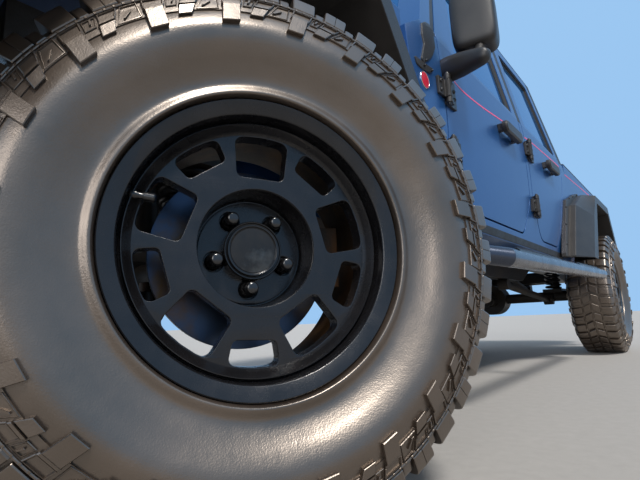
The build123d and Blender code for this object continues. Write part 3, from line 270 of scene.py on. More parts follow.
def polar(offset, radius, degrees):
    """A point of a wheel: x outwards along its axle, angle from its rear towards its top."""
    angle = math.radians(degrees)
    return (offset, radius * math.cos(angle), radius * math.sin(angle))


WELD = 1e-6
LUG_INSET = 0.0022
LUG_CHAMFER = 0.0018


class Shape:
    """A mesh that grows part by part, with a material index for each face."""

    def __init__(self):
        self.verts, self.faces, self.finish = [], [], []

    def add(self, verts, faces, finish=0):
        start = len(self.verts)
        self.verts += [tuple(v) for v in verts]
        self.faces += [tuple(start + i for i in face) for face in faces]
        self.finish += [finish] * len(faces)

    def join(self, part, finish=0):
        """Another shape, as it stands."""
        self.add(part.verts, part.faces, finish)

    def grid(self, rows, finish=0, closed=False):
        """Faces over rows of points; closed joins each row's end to its start."""
        width = len(rows[0])
        last = width if closed else width - 1
        faces = []
        for i in range(len(rows) - 1):
            for j in range(last):
                k = (j + 1) % width
                faces.append((i * width + j, i * width + k, (i + 1) * width + k, (i + 1) * width + j))
        self.add([v for row in rows for v in row], faces, finish)

    def bar(self, rows, finish=0, way=-1):
        """Faces round rows of points, with a face over the first and the last row."""
        self.grid(rows, finish, closed=True)
        ring = range(len(rows[0]))
        self.add(rows[0], [ring[::way]], finish)
        self.add(rows[-1], [ring[::-way]], finish)

    def lathe(self, profile, steps, finish=0):
        """A profile of (offset, radius) points turned about the axle."""
        rows = [[polar(x, r, 360 * k / steps) for k in range(steps)] for x, r in profile]
        self.grid(rows, finish, closed=True)

    def lug(self, section, start, end, skew, ends=(1.0, 1.0)):
        """A section of (offset, radius) points swept down from start to end degrees, with chamfered ends.

        Skew turns the lug on by that many degrees for each metre away from the section's first point.
        """
        centre = (sum(x for x, r in section) / len(section), min(r for x, r in section))
        reach = max(math.dist(point, centre) for point in section)
        inners, steps = [], []
        for chamfer in ends:
            shrink = chamfer * LUG_INSET / reach
            inners.append([(x + (centre[0] - x) * shrink, r + (centre[1] - r) * shrink) for x, r in section])
            steps.append(math.degrees(LUG_CHAMFER * chamfer / section[0][1]))
        rows = []
        for ring, angle in (
                (inners[0], start), (section, start - steps[0]), (section, end + steps[1]), (inners[1], end)):
            rows.append([polar(x, r, angle + skew * (x - section[0][0])) for x, r in ring])
        self.bar(rows, 0, 1)

    def put(self, part, place, out=(1, 0, 0), finish=0):
        """Another shape, moved to a place with its local x turned outwards."""
        turn = Vector((1, 0, 0)).rotation_difference(Vector(out)).to_matrix()
        self.add([Vector(place) + turn @ Vector(v) for v in part.verts], part.faces, finish)

    def tube(self, path, radius, sides, finish=0):
        """A round bar along a path, closed at both ends; the radius is one number or one for each point."""
        path = [Vector(p) for p in path]
        radii = radius if isinstance(radius, list) else [radius] * len(path)
        rows = []
        side = (path[1] - path[0]).orthogonal().normalized()
        for i, here in enumerate(path):
            way = (path[min(i + 1, len(path) - 1)] - path[max(i - 1, 0)]).normalized()
            side = (side - way * side.dot(way)).normalized()
            up = way.cross(side)
            turns = [2 * math.pi * k / sides for k in range(sides)]
            rows.append([here + (side * math.cos(turn) + up * math.sin(turn)) * radii[i] for turn in turns])
        self.bar(rows, finish)

    def block(self, low, high, chamfer, finish=0):
        """A box with chamfered edges, between two corners."""
        middle = [(a + b) / 2 for a, b in zip(low, high)]
        a, b, h = [abs(b - a) / 2 for a, b in zip(low, high)]
        c = chamfer
        rows = []
        for z, inset in ((-h, c), (c - h, 0), (h - c, 0), (h, c)):
            u, v = a - inset, b - inset
            ring = [(u - c, -v), (u, c - v), (u, v - c), (u - c, v)]
            ring += [(-x, -y) for x, y in ring]
            rows.append([(middle[0] + x, middle[1] + y, middle[2] + z) for x, y in ring])
        self.bar(rows, finish)

    def borrow(self, mesh, matrix, finish=0):
        """The faces of another mesh, moved by a matrix."""
        self.add([matrix @ v.co for v in mesh.vertices], [tuple(f.vertices) for f in mesh.polygons], finish)

    def build(self, name, *finishes, matrix=None, mirrored=False, sharp=38):
        """The mesh as an object, mirrored in x first where asked; edges over sharp degrees stay sharp."""
        mesh = bpy.data.meshes.new(name)
        flip = -1 if mirrored else 1
        mesh.from_pydata([(flip * x, y, z) for x, y, z in self.verts], [], self.faces)
        for finish in finishes:
            mesh.materials.append(MATERIALS[finish].data)
        mesh.polygons.foreach_set("material_index", self.finish)
        work = bmesh.new()
        work.from_mesh(mesh)
        bmesh.ops.remove_doubles(work, verts=work.verts, dist=WELD)
        bmesh.ops.recalc_face_normals(work, faces=work.faces)
        work.to_mesh(mesh)
        work.free()
        mesh.polygons.foreach_set("use_smooth", [True] * len(mesh.polygons))
        mesh.set_sharp_from_angle(angle=math.radians(sharp))
        piece = bpy.data.objects.new(name, mesh)
        scene.collection.objects.link(piece)
        even = piece.modifiers.new("even_normals", "WEIGHTED_NORMAL")
        even.keep_sharp = True
        if matrix:
            mesh.transform(matrix)
        return piece


def turned(profile, steps):
    """A profile of (offset, radius) points turned about x, as a shape of its own."""
    shape = Shape()
    shape.lathe(profile, steps)
    return shape


def plate(outlines, thickness, bevel):
    """A flat plate in the plane of x = 0, whose first outline is its rim and whose others are holes.

    Outlines are lists of (y, z). The plate's outer face is at x = 0 and its body behind it.
    """
    data = bpy.data.curves.new("plate", "CURVE")
    data.dimensions, data.fill_mode = "2D", "BOTH"
    data.extrude = thickness / 2 - bevel
    data.bevel_depth, data.bevel_resolution = bevel, 1
    data.offset = -bevel
    for outline in outlines:
        line = data.splines.new("POLY")
        line.points.add(len(outline) - 1)
        for point, (y, z) in zip(line.points, outline):
            point.co = (y, z, 0, 1)
        line.use_cyclic_u = True
    holder = bpy.data.objects.new("plate", data)
    mesh = bpy.data.meshes.new_from_object(holder)
    bpy.data.objects.remove(holder)
    bpy.data.curves.remove(data)
    mesh.transform(Matrix(((0, 0, 1, -thickness / 2), (1, 0, 0, 0), (0, 1, 0, 0), (0, 0, 0, 1))))
    return mesh


def rounded(corners, radius, steps=5):
    """An outline with every corner rounded: corners are (u, v) or (u, v, radius)."""
    points = []
    count = len(corners)
    for i, corner in enumerate(corners):
        here = Vector(corner[:2])
        before, after = Vector(corners[i - 1][:2]) - here, Vector(corners[(i + 1) % count][:2]) - here
        size = corner[2] if len(corner) > 2 else radius
        if size == 0:
            points.append(tuple(here))
            continue
        half = before.angle(after) / 2
        reach = size / math.tan(half)
        centre = here + (before.normalized() + after.normalized()).normalized() * size / math.sin(half)
        start, end = here + before.normalized() * reach - centre, here + after.normalized() * reach - centre
        sweep = start.angle_signed(end)
        for k in range(steps + 1):
            points.append(tuple(centre + Matrix.Rotation(-sweep * k / steps, 2) @ start))
    return points


def circle(radius, steps, centre=(0, 0)):
    turns = [2 * math.pi * k / steps for k in range(steps)]
    return [(centre[0] + radius * math.cos(turn), centre[1] + radius * math.sin(turn)) for turn in turns]


def wheel_place(place, side):
    """Where a wheel stands, its local x along its axle: outwards on the left and inwards on the right."""
    joint = JOINTS[f"wheel_{place}_{side}_spin"]
    out = Vector(joint["axis"])
    rear = Vector((0, 0, 1)).cross(out)
    turn = Matrix((out, rear, Vector((0, 0, 1)))).transposed().to_4x4()
    return Matrix.Translation(joint["pos_m"]) @ turn


# The body was laid out with the axles at this height.
BASE = AXLE_Z - 0.487


def at(x, y, z):
    """A point given from the front axle's middle, with z from the ground."""
    return Vector((x, y + FRONT_AXLE_Y, z))


def ride(piece, body, slot, *nodes):
    """A piece moves with a body and takes the place of CAD nodes, where they are named; the slot is not used."""
    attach(piece, body)
    if nodes:
        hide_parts(*nodes)


# Wheel, in metres, with offsets counted outwards from the wheel's middle plane
FACE_X = 0.072
FACE_RADIUS = 0.191
WINDOW_REACH = 0.1882
# A window's outer edge bends at this share of its half width, and its outer corners are this much rounder
BEND_SHARE, OUTER_CORNER = 0.55, 1.25
POCKET_RADIUS = 0.0968
PLATE_THICKNESS = 0.03
FIFTHS = [72 * k for k in range(5)]
# Each kind of window: its first angle, its inner edge, its half widths there and outside, and its corners
LARGE_WINDOW = (15, 0.1155, 0.0398, 0.046, 0.0105)
SMALL_WINDOW = (51, 0.1472, 0.0345, 0.0412, 0.009)
STUD_CIRCLE = 0.0635
STUDS = [polar(0, STUD_CIRCLE, SMALL_WINDOW[0] + angle)[1:] for angle in FIFTHS]
WHEEL_FINISHES = "wheel_black", "cap_satin", "gloss_black", "cap_ring", "barrel"
FACE, CAP, NUT, RING, BARREL = range(len(WHEEL_FINISHES))
# The valve stem's root and tip, each as (offset, radius, degrees)
VALVE = (0.082, 0.2045, 159.5), (0.09, 0.17, 157.5)
PAD_X = 0.0145
TURNED, HUB_TURNED = 180, 120


def window(middle, inner, half_inner, half_outer, corner):
    """The rounded outline of one window in the wheel's face, whose outer edge follows the face's rim."""
    near = BEND_SHARE * half_outer
    side = math.sqrt(WINDOW_REACH ** 2 - half_outer ** 2)
    bend = math.sqrt(WINDOW_REACH ** 2 - near ** 2)
    half = [(inner, half_inner, corner), (side, half_outer, OUTER_CORNER * corner), (bend, near, 0)]
    corners = [(u, -v, size) for u, v, size in half] + [(WINDOW_REACH, 0, 0)] + half[::-1]
    turn = Matrix.Rotation(math.radians(middle), 2)
    return [tuple(turn @ Vector(p)) for p in rounded(corners, corner)]


def wheel_face(shape):
    """The stepped lip, the face with its ten windows, and the barrel behind it."""
    shape.lathe([
        (0.1, 0.23), (0.108, 0.2342), (0.114, 0.2345), (0.1165, 0.2338), (0.1176, 0.2322),
        (0.1172, 0.2306), (0.115, 0.224), (0.1105, 0.212), (0.109, 0.2104), (0.1065, 0.2094),
        (0.09, 0.2084), (0.0815, 0.2078), (0.08, 0.2066), (0.0812, 0.2052), (0.088, 0.2042),
        (0.0898, 0.2034), (0.0899, 0.2022), (0.085, 0.199), (0.0785, 0.1952), (0.074, 0.1924),
        (0.0722, 0.19), (0.07, 0.189),
    ], TURNED, FACE)
    outlines = [circle(FACE_RADIUS + 0.002, TURNED)]
    for angle in FIFTHS:
        for first, *sizes in (LARGE_WINDOW, SMALL_WINDOW):
            outlines.append(window(first + angle, *sizes))
    outlines.append(circle(POCKET_RADIUS, HUB_TURNED))
    shape.borrow(plate(outlines, PLATE_THICKNESS, 0.0016), Matrix.Translation((FACE_X, 0, 0)), FACE)
    shape.lathe([
        (0.046, 0.1925), (0.04, 0.199), (0.03, 0.2035), (-0.02, 0.205), (-0.09, 0.206),
        (-0.104, 0.212), (-0.113, 0.224), (-0.1165, 0.2335), (-0.112, 0.2345), (-0.104, 0.23),
    ], TURNED, BARREL)


def wheel_middle(shape):
    """The hub behind the face, the pocket in it, and the pad with its stud holes in the pocket."""
    hub = [(0.0425, 0.1), (0.03, 0.101), (-0.005, 0.104), (-0.012, 0.1), (-0.012, 0.03)]
    shape.lathe(hub, HUB_TURNED, FACE)
    shape.lathe([
        (0.07, POCKET_RADIUS + 0.001), (0.069, POCKET_RADIUS - 0.0004), (0.066, POCKET_RADIUS - 0.0012),
        (0.03, 0.0932), (0.013, 0.0925), (0.01, 0.0915), (0.0095, 0.088),
    ], HUB_TURNED, FACE)
    pad = [circle(0.089, HUB_TURNED), circle(0.044, 80)] + [circle(0.017, 32, stud) for stud in STUDS]
    shape.borrow(plate(pad, 0.01, 0.0014), Matrix.Translation((PAD_X, 0, 0)), FACE)
    shape.lathe([(0.002, 0.092), (0.002, 0.04)], 60, FACE)


def wheel_cap(shape):
    """An outer ring, an inner ring and a blank satin disc."""
    shape.lathe([
        (PAD_X - 0.002, 0.0506), (0.037, 0.05), (0.0392, 0.0492), (0.04, 0.0482), (0.0398, 0.047),
        (0.0366, 0.046), (0.0362, 0.0444), (0.0398, 0.0436), (0.0412, 0.0428), (0.0414, 0.0416),
        (0.0408, 0.0404), (0.0388, 0.0396), (0.0384, 0.0386),
    ], HUB_TURNED, RING)
    disc = [(0.0384, 0.0386), (0.0393, 0.0376), (0.0399, 0.025), (0.0402, 0.0001)]
    shape.lathe(disc, HUB_TURNED, CAP)


def wheel_nuts(shape):
    """Round-shouldered hexagonal nuts on the studs."""
    nut = turned([(0.002, 0.0146), (0.013, 0.0146), (0.019, 0.0122), (0.02, 0.011)], 24)
    nut.lathe([(0.018, 0.0118), (0.0395, 0.0118), (0.0412, 0.0108)], 6)
    nut.lathe([
        (0.039, 0.011), (0.042, 0.0104), (0.045, 0.0098), (0.0466, 0.0084), (0.0474, 0.0056),
        (0.0477, 0.0001),
    ], 24)
    for y, z in STUDS:
        shape.put(nut, (0, y, z), finish=NUT)


def wheel_valve(shape):
    """The valve stem, out of the band beside a large window."""
    stem = turned([
        (0.0, 0.0001), (0.0, 0.0076), (0.007, 0.0078), (0.01, 0.0056), (0.018, 0.0054), (0.019, 0.007),
        (0.033, 0.007), (0.0345, 0.0058), (0.035, 0.0001),
    ], 16)
    root, tip = [Vector(polar(*end)) for end in VALVE]
    turn = (tip - root).to_track_quat("X", "Z").to_matrix()
    shape.add([root + turn @ Vector(v) for v in stem.verts], stem.faces, NUT)


def wheel_shape():
    """The whole wheel, without its tyre."""
    shape = Shape()
    for part in (wheel_face, wheel_middle, wheel_cap, wheel_nuts, wheel_valve):
        part(shape)
    return shape


# Tyre: the outer sidewall's line as (offset, radius), from the bead to the belt's step
SIDEWALL = [
    (0.1, 0.2352), (0.114, 0.2356), (0.1222, 0.2367), (0.1262, 0.2384), (0.1273, 0.241), (0.1264, 0.245),
    (0.1247, 0.2495), (0.1238, 0.2535), (0.1243, 0.259), (0.1266, 0.266), (0.1308, 0.2745), (0.1366, 0.2845),
    (0.143, 0.2945), (0.1486, 0.3045), (0.153, 0.314), (0.1556, 0.323), (0.1566, 0.331), (0.1562, 0.339),
    (0.1542, 0.347), (0.1512, 0.3555), (0.1478, 0.363),
]
# from the belt's step over its ridge to the tread's floor
SHOULDER = [
    (0.1478, 0.363), (0.15, 0.3636), (0.148, 0.37), (0.1452, 0.378), (0.142, 0.386), (0.1398, 0.3922),
    (0.1398, 0.3934), (0.1424, 0.3942), (0.143, 0.3956), (0.1422, 0.3974), (0.139, 0.3984), (0.133, 0.3996),
    (0.127, 0.406), (0.12, 0.413), (0.112, 0.419), (0.1, 0.424), (0.08, 0.4262), (0.05, 0.427),
    (0.0, 0.4272),
]
TYRE_STEPS = 240
PITCHES = 20
TEETH = 9
FIRST_PITCH = 155.3
PITCH_WAVE = 0.9
PITCH_WAVES = 3


def pitch_angle(k):
    """The angle of the k-th large side block: the pitches differ a little, as on such tyres."""
    wave = math.cos(2 * math.pi * PITCH_WAVES * (k + 0.5) / PITCHES)
    return FIRST_PITCH - 360 / PITCHES * k + PITCH_WAVE * wave


def line_at(line, radius):
    """The offset of a line of (offset, radius) points at a radius."""
    for (x0, r0), (x1, r1) in zip(line, line[1:]):
        if r0 <= radius <= r1:
            return x0 + (x1 - x0) * (radius - r0) / max(r1 - r0, 1e-9)
    return line[-1][0]


SIDE_LINE = SIDEWALL[10:] + SHOULDER[2:6] + [(0.137, 0.401)]


def side_surface(radius, degrees, height):
    """A point over the sidewall at a radius and angle."""
    return polar(line_at(SIDE_LINE, radius) + height, radius, degrees)


def tyre_shape():
    """A mud-terrain tyre: smooth sidewalls, shouldered side blocks and staggered tread lugs."""
    shape = Shape()
    half = spline(SIDEWALL, 3) + SHOULDER
    shape.lathe(half + [(-x, r) for x, r in reversed(half[:-1])], TYRE_STEPS)
    for way in (1, -1):
        part = Shape()
        for k in range(PITCHES):
            side_pitch(part, pitch_angle(k), pitch_angle(k + 1))
            tread_pitch(part, pitch_angle(k), pitch_angle(k + 1))
        if way == 1:
            shape.join(part)
        else:
            # the far side is staggered by half a pitch
            c, s = math.cos(math.pi / PITCHES), math.sin(math.pi / PITCHES)
            verts = [(-x, y * c - z * s, y * s + z * c) for x, y, z in part.verts]
            shape.add(verts, [face[::-1] for face in part.faces])
    return shape


def plateau(shape, outline, high, levels):
    """A raised form on the sidewall: rings of its outline at (inset, height) levels, closed on top.

    The outline is (radius, degrees) points, and insets, in metres, are measured at the form's full height.
    """
    centre = [sum(p[i] for p in outline) / len(outline) for i in (0, 1)]
    middle = Vector(side_surface(*centre, high))
    rows = []
    for inset, level in levels:
        row = []
        for p in outline:
            reach = (Vector(side_surface(*p, high)) - middle).length
            row.append(side_surface(*[p[i] + (centre[i] - p[i]) * inset / reach for i in (0, 1)], level))
        rows.append(row)
    shape.grid(rows, closed=True)
    shape.add(rows[-1], [range(len(outline))])


def side_pitch(shape, here, after):
    """The side blocks and panels from one large block to the next."""
    def block(r0, r1, a0, b0, a1, b1, high, chamfer=0.0015, low=-0.003):
        """A chamfered block between two radii, from angle a to angle b at each."""
        levels = [(0, low), (0, high - chamfer), (1.4 * chamfer, high)]
        plateau(shape, [(r0, a0), (r0, b0), (r1, b1), (r1, a1)], high, levels)

    def panel(r0, r1, a0, b0, a1, b1, high, border, depth):
        """A panel whose middle is sunk within a raised border."""
        levels = [(0, -0.003), (0, high - 0.0008), (0.0012, high), (border, high),
                  (border + 0.0015, high - depth)]
        plateau(shape, [(r0, a0), (r0, b0), (r1, b1), (r1, a1)], high, levels)

    middle = (here + after) / 2
    # the large block, its lower corners further on than its upper ones, and the panel over it
    block(0.338, 0.3725, here + 2.1, here - 2.6, here + 0.7, here - 3.6, 0.008, 0.0011, -0.004)
    block(0.3727, 0.3768, here + 0.9, here - 3.9, here + 0.7, here - 4.1, 0.0058)
    panel(0.377, 0.3922, here + 0.7, here - 4.2, here + 0.1, here - 4.9, 0.005, 0.0022, 0.003)
    # the small block between the large ones, with its rib and its panel
    block(0.355, 0.3715, middle + 3, middle - 0.4, middle + 1.9, middle - 1.9, 0.0056, 0.0009, -0.004)
    block(0.3735, 0.3775, middle + 1.9, middle - 2.1, middle + 1.5, middle - 2.4, 0.0062, 0.0012)
    panel(0.378, 0.3922, middle + 1.3, middle - 2.6, middle + 0.5, middle - 3.9, 0.004, 0.0018, 0.0026)
    # the framed panel between the small block and the next large one, with its slit
    panel(0.3645, 0.3925, middle - 1.8, after + 1.7, middle - 4.6, after + 1, 0.003, 0.002, 0.0026)
    block(0.37, 0.38, after + 5.7, after + 5.2, after + 3.9, after + 3.1, 0.0034, 0.0004)
    # the sunk panel after the large block, with its short stub
    panel(0.374, 0.3915, here - 4.4, middle + 2.2, here - 5.2, middle + 0.9, 0.0026, 0.002, 0.0022)
    block(0.3815, 0.3895, middle + 3.1, middle + 2.7, middle + 2.5, middle + 2, 0.004, 0.0004)
    # teeth on the ridge under each groove
    for k in range(TEETH):
        tooth = here - 0.4 - k * (here - after) / TEETH
        block(0.3935, 0.3972, tooth, tooth - 0.55, tooth, tooth - 0.55, 0.0052, 0.0004, -0.002)


LUG_SECTION = [
    (0.13, 0.3975), (0.1384, 0.4012), (0.1392, 0.403), (0.1385, 0.405), (0.1268, 0.431), (0.1235, 0.4355),
    (0.118, 0.4395), (0.11, 0.4414), (0.09, 0.4418), (0.064, 0.442), (0.061, 0.4408), (0.059, 0.42),
    (0.11, 0.408),
]
# degrees that lugs and centre blocks turn on by for each metre towards the tread's middle
LUG_SKEW = 14
BLOCK_SKEW = 60


def tread_pitch(shape, here, after):
    """The shoulder lugs and centre blocks of one pitch."""
    middle = (here + after) / 2
    # the plain lug above the large block, and the split one above the small block
    shape.lug(LUG_SECTION, here - 0.2, here - 5.6, LUG_SKEW)
    shape.lug(LUG_SECTION, middle + 0.1, middle - 2.55, LUG_SKEW, (1.0, 0.35))
    shape.lug(LUG_SECTION, middle - 2.68, middle - 5.3, LUG_SKEW, (0.35, 1.0))
    # the step on the floor of each groove
    low = [(x - 0.002, r - (0.012 if r > 0.43 else 0.007 if r > 0.404 else 0.001)) for x, r in LUG_SECTION]
    for centre in (here - 6.2, middle - 5.8):
        shape.lug(low, centre, centre - 2.3, LUG_SKEW)
    # centre blocks
    for start, x0, x1 in ((here - 1.0, 0.052, 0.006), (middle - 1.0, 0.05, 0.004)):
        block = [(x0, 0.4215), (x0 - 0.001, 0.44), (x0 - 0.003, 0.442)]
        block += [(x1 + 0.003, 0.442), (x1 + 0.001, 0.44), (x1, 0.4215)]
        shape.lug(block, start, start - 0.36 * (here - after), BLOCK_SKEW)


def place_wheels():
    """The detailed wheels and tyres, in the place of the plain ones."""
    wheel, tyre = wheel_shape(), tyre_shape()
    for place, side in PLACES:
        stand = {"matrix": wheel_place(place, side), "mirrored": side == "right"}
        body = f"wheel_{place}_{side}"
        rim = wheel.build(f"rim_{place}_{side}", *WHEEL_FINISHES, **stand)
        ride(rim, body, "wheel_black", f"wheel_{place}_{side}")
        rubber = tyre.build(f"mud_tyre_{place}_{side}", "tyre_rubber", sharp=30, **stand)
        ride(rubber, body, "tyre_rubber", f"tyre_{place}_{side}")


# Where rays start, outside the vehicle and inside the cab, and the body's half width
OUTSIDE_X, INSIDE_X, BODY_X = 2, 0.3, 0.78
# Points from one corner of a stripe to the next, and a body bolt's (radius, height)
STRIPE_STEPS = 14
BODY_BOLT = (0.0075, 0.006)


class Skin:
    """The outer surface of some nodes, as seen from beside the vehicle."""

    way = 1

    def __init__(self, *names):
        self.trees = []
        for name in names:
            mesh = NODES[name].data
            faces = [tuple(f.vertices) for f in mesh.polygons]
            self.trees.append(BVHTree.FromPolygons([v.co.copy() for v in mesh.vertices], faces))

    def hit(self, side, y, z):
        """The outermost point at a distance behind the front axle and a height, and its normal, or None."""
        found = None
        for tree in self.trees:
            place, normal, _, distance = tree.ray_cast(at(side * OUTSIDE_X, y, z), Vector((-side, 0, 0)))
            if place and (found is None or distance < found[2]):
                found = (place, normal if normal.x * side > 0 else -normal, distance)
        return found and found[:2]


class Lining(Skin):
    """The inner surface of a node, as seen from the middle of the cab."""

    way = -1

    def hit(self, side, y, z):
        hit = self.trees[0].ray_cast(at(side * INSIDE_X, y, z), Vector((side, 0, 0)))
        return hit[0] and hit[:2]


def ribbon(skin, side, points, width, height):
    """A raised stripe over a skin, along (y, z) points."""
    line = [found for found in (skin.hit(side, y, z) for y, z in spline(points, STRIPE_STEPS)) if found]
    rows = []
    for i, (place, normal) in enumerate(line):
        way = (line[min(i + 1, len(line) - 1)][0] - line[max(i - 1, 0)][0]).normalized()
        across, lift = normal.cross(way).normalized() * width / 2, normal * height
        rows.append([place + u * across + v * lift for u, v in ((1, -1), (1, 1), (-1, 1), (-1, -1))])
    shape = Shape()
    shape.bar(rows)
    return shape


def skin_plate(skin, side, outline, height, bevel):
    """A plate with a bevelled rim that follows a skin; its outline is (y, z) points."""
    shape = Shape()
    mesh = plate([outline], 2 * height, bevel)
    points = []
    for v in mesh.vertices:
        found = skin.hit(side, v.co.y, v.co.z)
        x = found[0].x if found else side * BODY_X
        points.append(at(x + side * skin.way * (height + v.co.x), v.co.y, v.co.z))
    shape.add(points, [tuple(f.vertices) for f in mesh.polygons])
    return shape


def spaced(count, first, pitch):
    """Evenly spaced places."""
    return [first + k * pitch for k in range(count)]


def button(radius, height):
    """A socket-head button bolt, standing out along x."""
    return turned([
        (-0.003, radius), (0.35 * height, radius), (0.75 * height, 0.85 * radius), (height, 0.55 * radius),
        (height, 0.42 * radius), (0.45 * height, 0.38 * radius), (0.45 * height, 0.0001),
    ], 14)


def bolt_on(shape, skin, side, points, reach=0):
    """Button bolts on a skin at (y, z) points, wherever it stands out further than reach."""
    for y, z in points:
        found = skin.hit(side, y, z)
        if found and abs(found[0].x) > reach:
            shape.put(button(*BODY_BOLT), *found)


# Side trim, as (y, z) from the front axle's middle and the ground
STRIPES = {
    "front": [(0.918, 1.262), (0.939, 1.249), (1.017, 1.228), (1.112, 1.218), (1.315, 1.228), (1.6, 1.257),
              (1.908, 1.284)],
    "rear": [(1.986, 1.29), (2.106, 1.3), (2.4, 1.313), (2.632, 1.322), (2.83, 1.326)],
    "bed": [(3.016, 1.31), (3.4, 1.325), (3.8, 1.338), (4.2, 1.349), (4.52, 1.355)],
}
STRIPE_WIDTH = 0.0075
STRIPE_HEIGHT = 0.0008
BODY = "cab_tub", "front_fenders", "windshield_frame"
BADGE = (0.738, 1.117)
BADGE_RING = [(-0.002, 0.0315), (0.0022, 0.0315), (0.0034, 0.0305), (0.0034, 0.029), (0.0026, 0.0283)]
BADGE_FACE = [(0.0026, 0.0283), (0.0032, 0.018), (0.0034, 0.0001)]
COWL_BRACKET = [
    (0.774, 1.36), (0.814, 1.389), (0.851, 1.401), (0.869, 1.38), (0.862, 1.3), (0.826, 1.25), (0.79, 1.216),
    (0.744, 1.182), (0.724, 1.191), (0.765, 1.27), (0.76, 1.308),
]
COWL_FOOT = [
    (0.675, 1.18), (0.742, 1.184), (0.811, 1.191), (0.808, 1.178), (0.782, 1.16), (0.759, 1.156),
    (0.716, 1.152), (0.686, 1.155),
]
# Painted shade: the outline, as (y, z), of a dark strip along the sill's foot under the doors
ROCKER_SHADE_STRIP = [(0.78, 0.649), (2.62, 0.649), (2.62, 0.684), (0.78, 0.684)]
COWL_SCREWS = [(0.735, 1.168), (0.79, 1.172), (0.752, 1.195)]
# Each door's hinge line, the heights of its hinges and the length of their fixed leaves
HINGES = {"front": (0.893, (0.895, 1.14), 0.06), "rear": (1.967, (0.885, 1.205), 0.042)}
HINGE_X = 0.812
PIN_REACH = 0.056
PIN_CAP = [(0.0, 0.0075), (0.006, 0.0072), (0.009, 0.005), (0.0095, 0.0001)]
LEAF_BOLTS = [(0.045, 0.038), (0.068, 0.016), (0.045, -0.038), (0.068, -0.016)]


def side_plates(side, word):
    """The badge, a dark strip of painted shade along the sill's foot, and the bolted cowl bracket."""
    body = Skin(*BODY)
    place, normal = body.hit(side, *BADGE)
    badge = Shape()
    for profile, finish in ((BADGE_RING, 1), (BADGE_FACE, 0)):
        badge.put(turned(profile, 64), place, normal, finish)
    ride(badge.build(f"badge_{word}", "badge_face", "bright_metal"), "truck", "black_plastic")

    # Painted shade: a dark rubber strip laid along the sill's foot, where shade falls under the sill.
    shade_strip = skin_plate(Skin("cab_tub"), side, rounded(ROCKER_SHADE_STRIP, 0.006, 2), 0.003, 0.0015)
    ride(shade_strip.build(f"rocker_shade_strip_{word}", "seal_rubber"), "truck", "black_plastic")

    bracket = skin_plate(body, side, rounded(COWL_BRACKET, 0.008, 3), 0.006, 0.003)
    bracket.join(skin_plate(body, side, rounded(COWL_FOOT, 0.004, 2), 0.005, 0.002))
    for y, z in COWL_SCREWS:
        place, normal = body.hit(side, y, z)
        bracket.put(button(0.0045, 0.004), place + normal * 0.009, normal, 1)
    ride(bracket.build(f"cowl_bracket_{word}", "black_plastic", "bolt_steel"), "truck", "black_plastic")


def hinge_details(side, word, place):
    """Bolts on both leaves of a door's hinges, and caps on their pins."""
    hinge_y, heights, length = HINGES[place]
    leaf, fixed = Skin(f"door_hardware_{place}_{word}"), Skin("body_hinges")
    moving, still = Shape(), Shape()
    for z in heights:
        bolt_on(moving, leaf, side, [(hinge_y + dy, z + dz) for dy, dz in LEAF_BOLTS])
        bolt_on(still, fixed, side, [(hinge_y - (length - 0.016), z + dz) for dz in (0.018, -0.018)])
        for way in (1, -1):
            still.put(turned(PIN_CAP, 20), at(side * HINGE_X, hinge_y, z + way * PIN_REACH), (0, 0, way))
    ride(moving.build(f"hinge_bolts_{place}_{word}", "bolt_steel"), f"door_{place}_{word}", "black_plastic")
    ride(still.build(f"hinge_pins_{place}_{word}", "bolt_steel"), "truck", "black_plastic")


def trim_sides():
    """Stripes, badges, brackets and bolts on both sides of the body."""
    for side, word in SIDES:
        for place, points in STRIPES.items():
            door = f"door_{place}_{word}"
            node, body = ("bed", "truck") if place == "bed" else (door, door)
            stripe = ribbon(Skin(node), side, points, STRIPE_WIDTH, STRIPE_HEIGHT)
            ride(stripe.build(f"stripe_{place}_{word}", "pin_stripe"), body, "body_paint")
        side_plates(side, word)
        for place in HINGES:
            hinge_details(side, word, place)


# Door windows' corners as (y, z, radius), and their seal's section as (inset, height over the glass)
WINDOWS = {
    "front": [(1.075, 1.383, 0.02), (1.29, 1.893, 0.03), (1.838, 1.893, 0.03), (1.838, 1.383, 0.02)],
    "rear": [(2.06, 1.383, 0.02), (2.06, 1.893, 0.03), (2.64, 1.893, 0.03), (2.775, 1.383, 0.02)],
}
SEAL = [
    (0.001, -0.0005), (0.001, 0.011), (0.003, 0.0135), (0.009, 0.012), (0.011, 0.004), (0.02, 0.003),
    (0.022, -0.0005),
]
# Two heights at which the glass is measured, and those along the divider bar
GLASS_LOW, GLASS_HIGH = 1.45, 1.8
DIVIDER_Z = [1.398, 1.52, 1.65, 1.78, 1.88]


def shrink(outline, distance):
    """A closed outline moved inwards by a distance."""
    count = len(outline)
    area = sum(a[0] * b[1] - b[0] * a[1] for a, b in zip(outline, outline[1:] + outline[:1]))
    points = []
    for i in range(count):
        way = (Vector(outline[(i + 1) % count]) - Vector(outline[i - 1])).normalized()
        inward = Vector((-way.y, way.x)) * (1 if area > 0 else -1)
        points.append(tuple(Vector(outline[i]) + inward * distance))
    return points


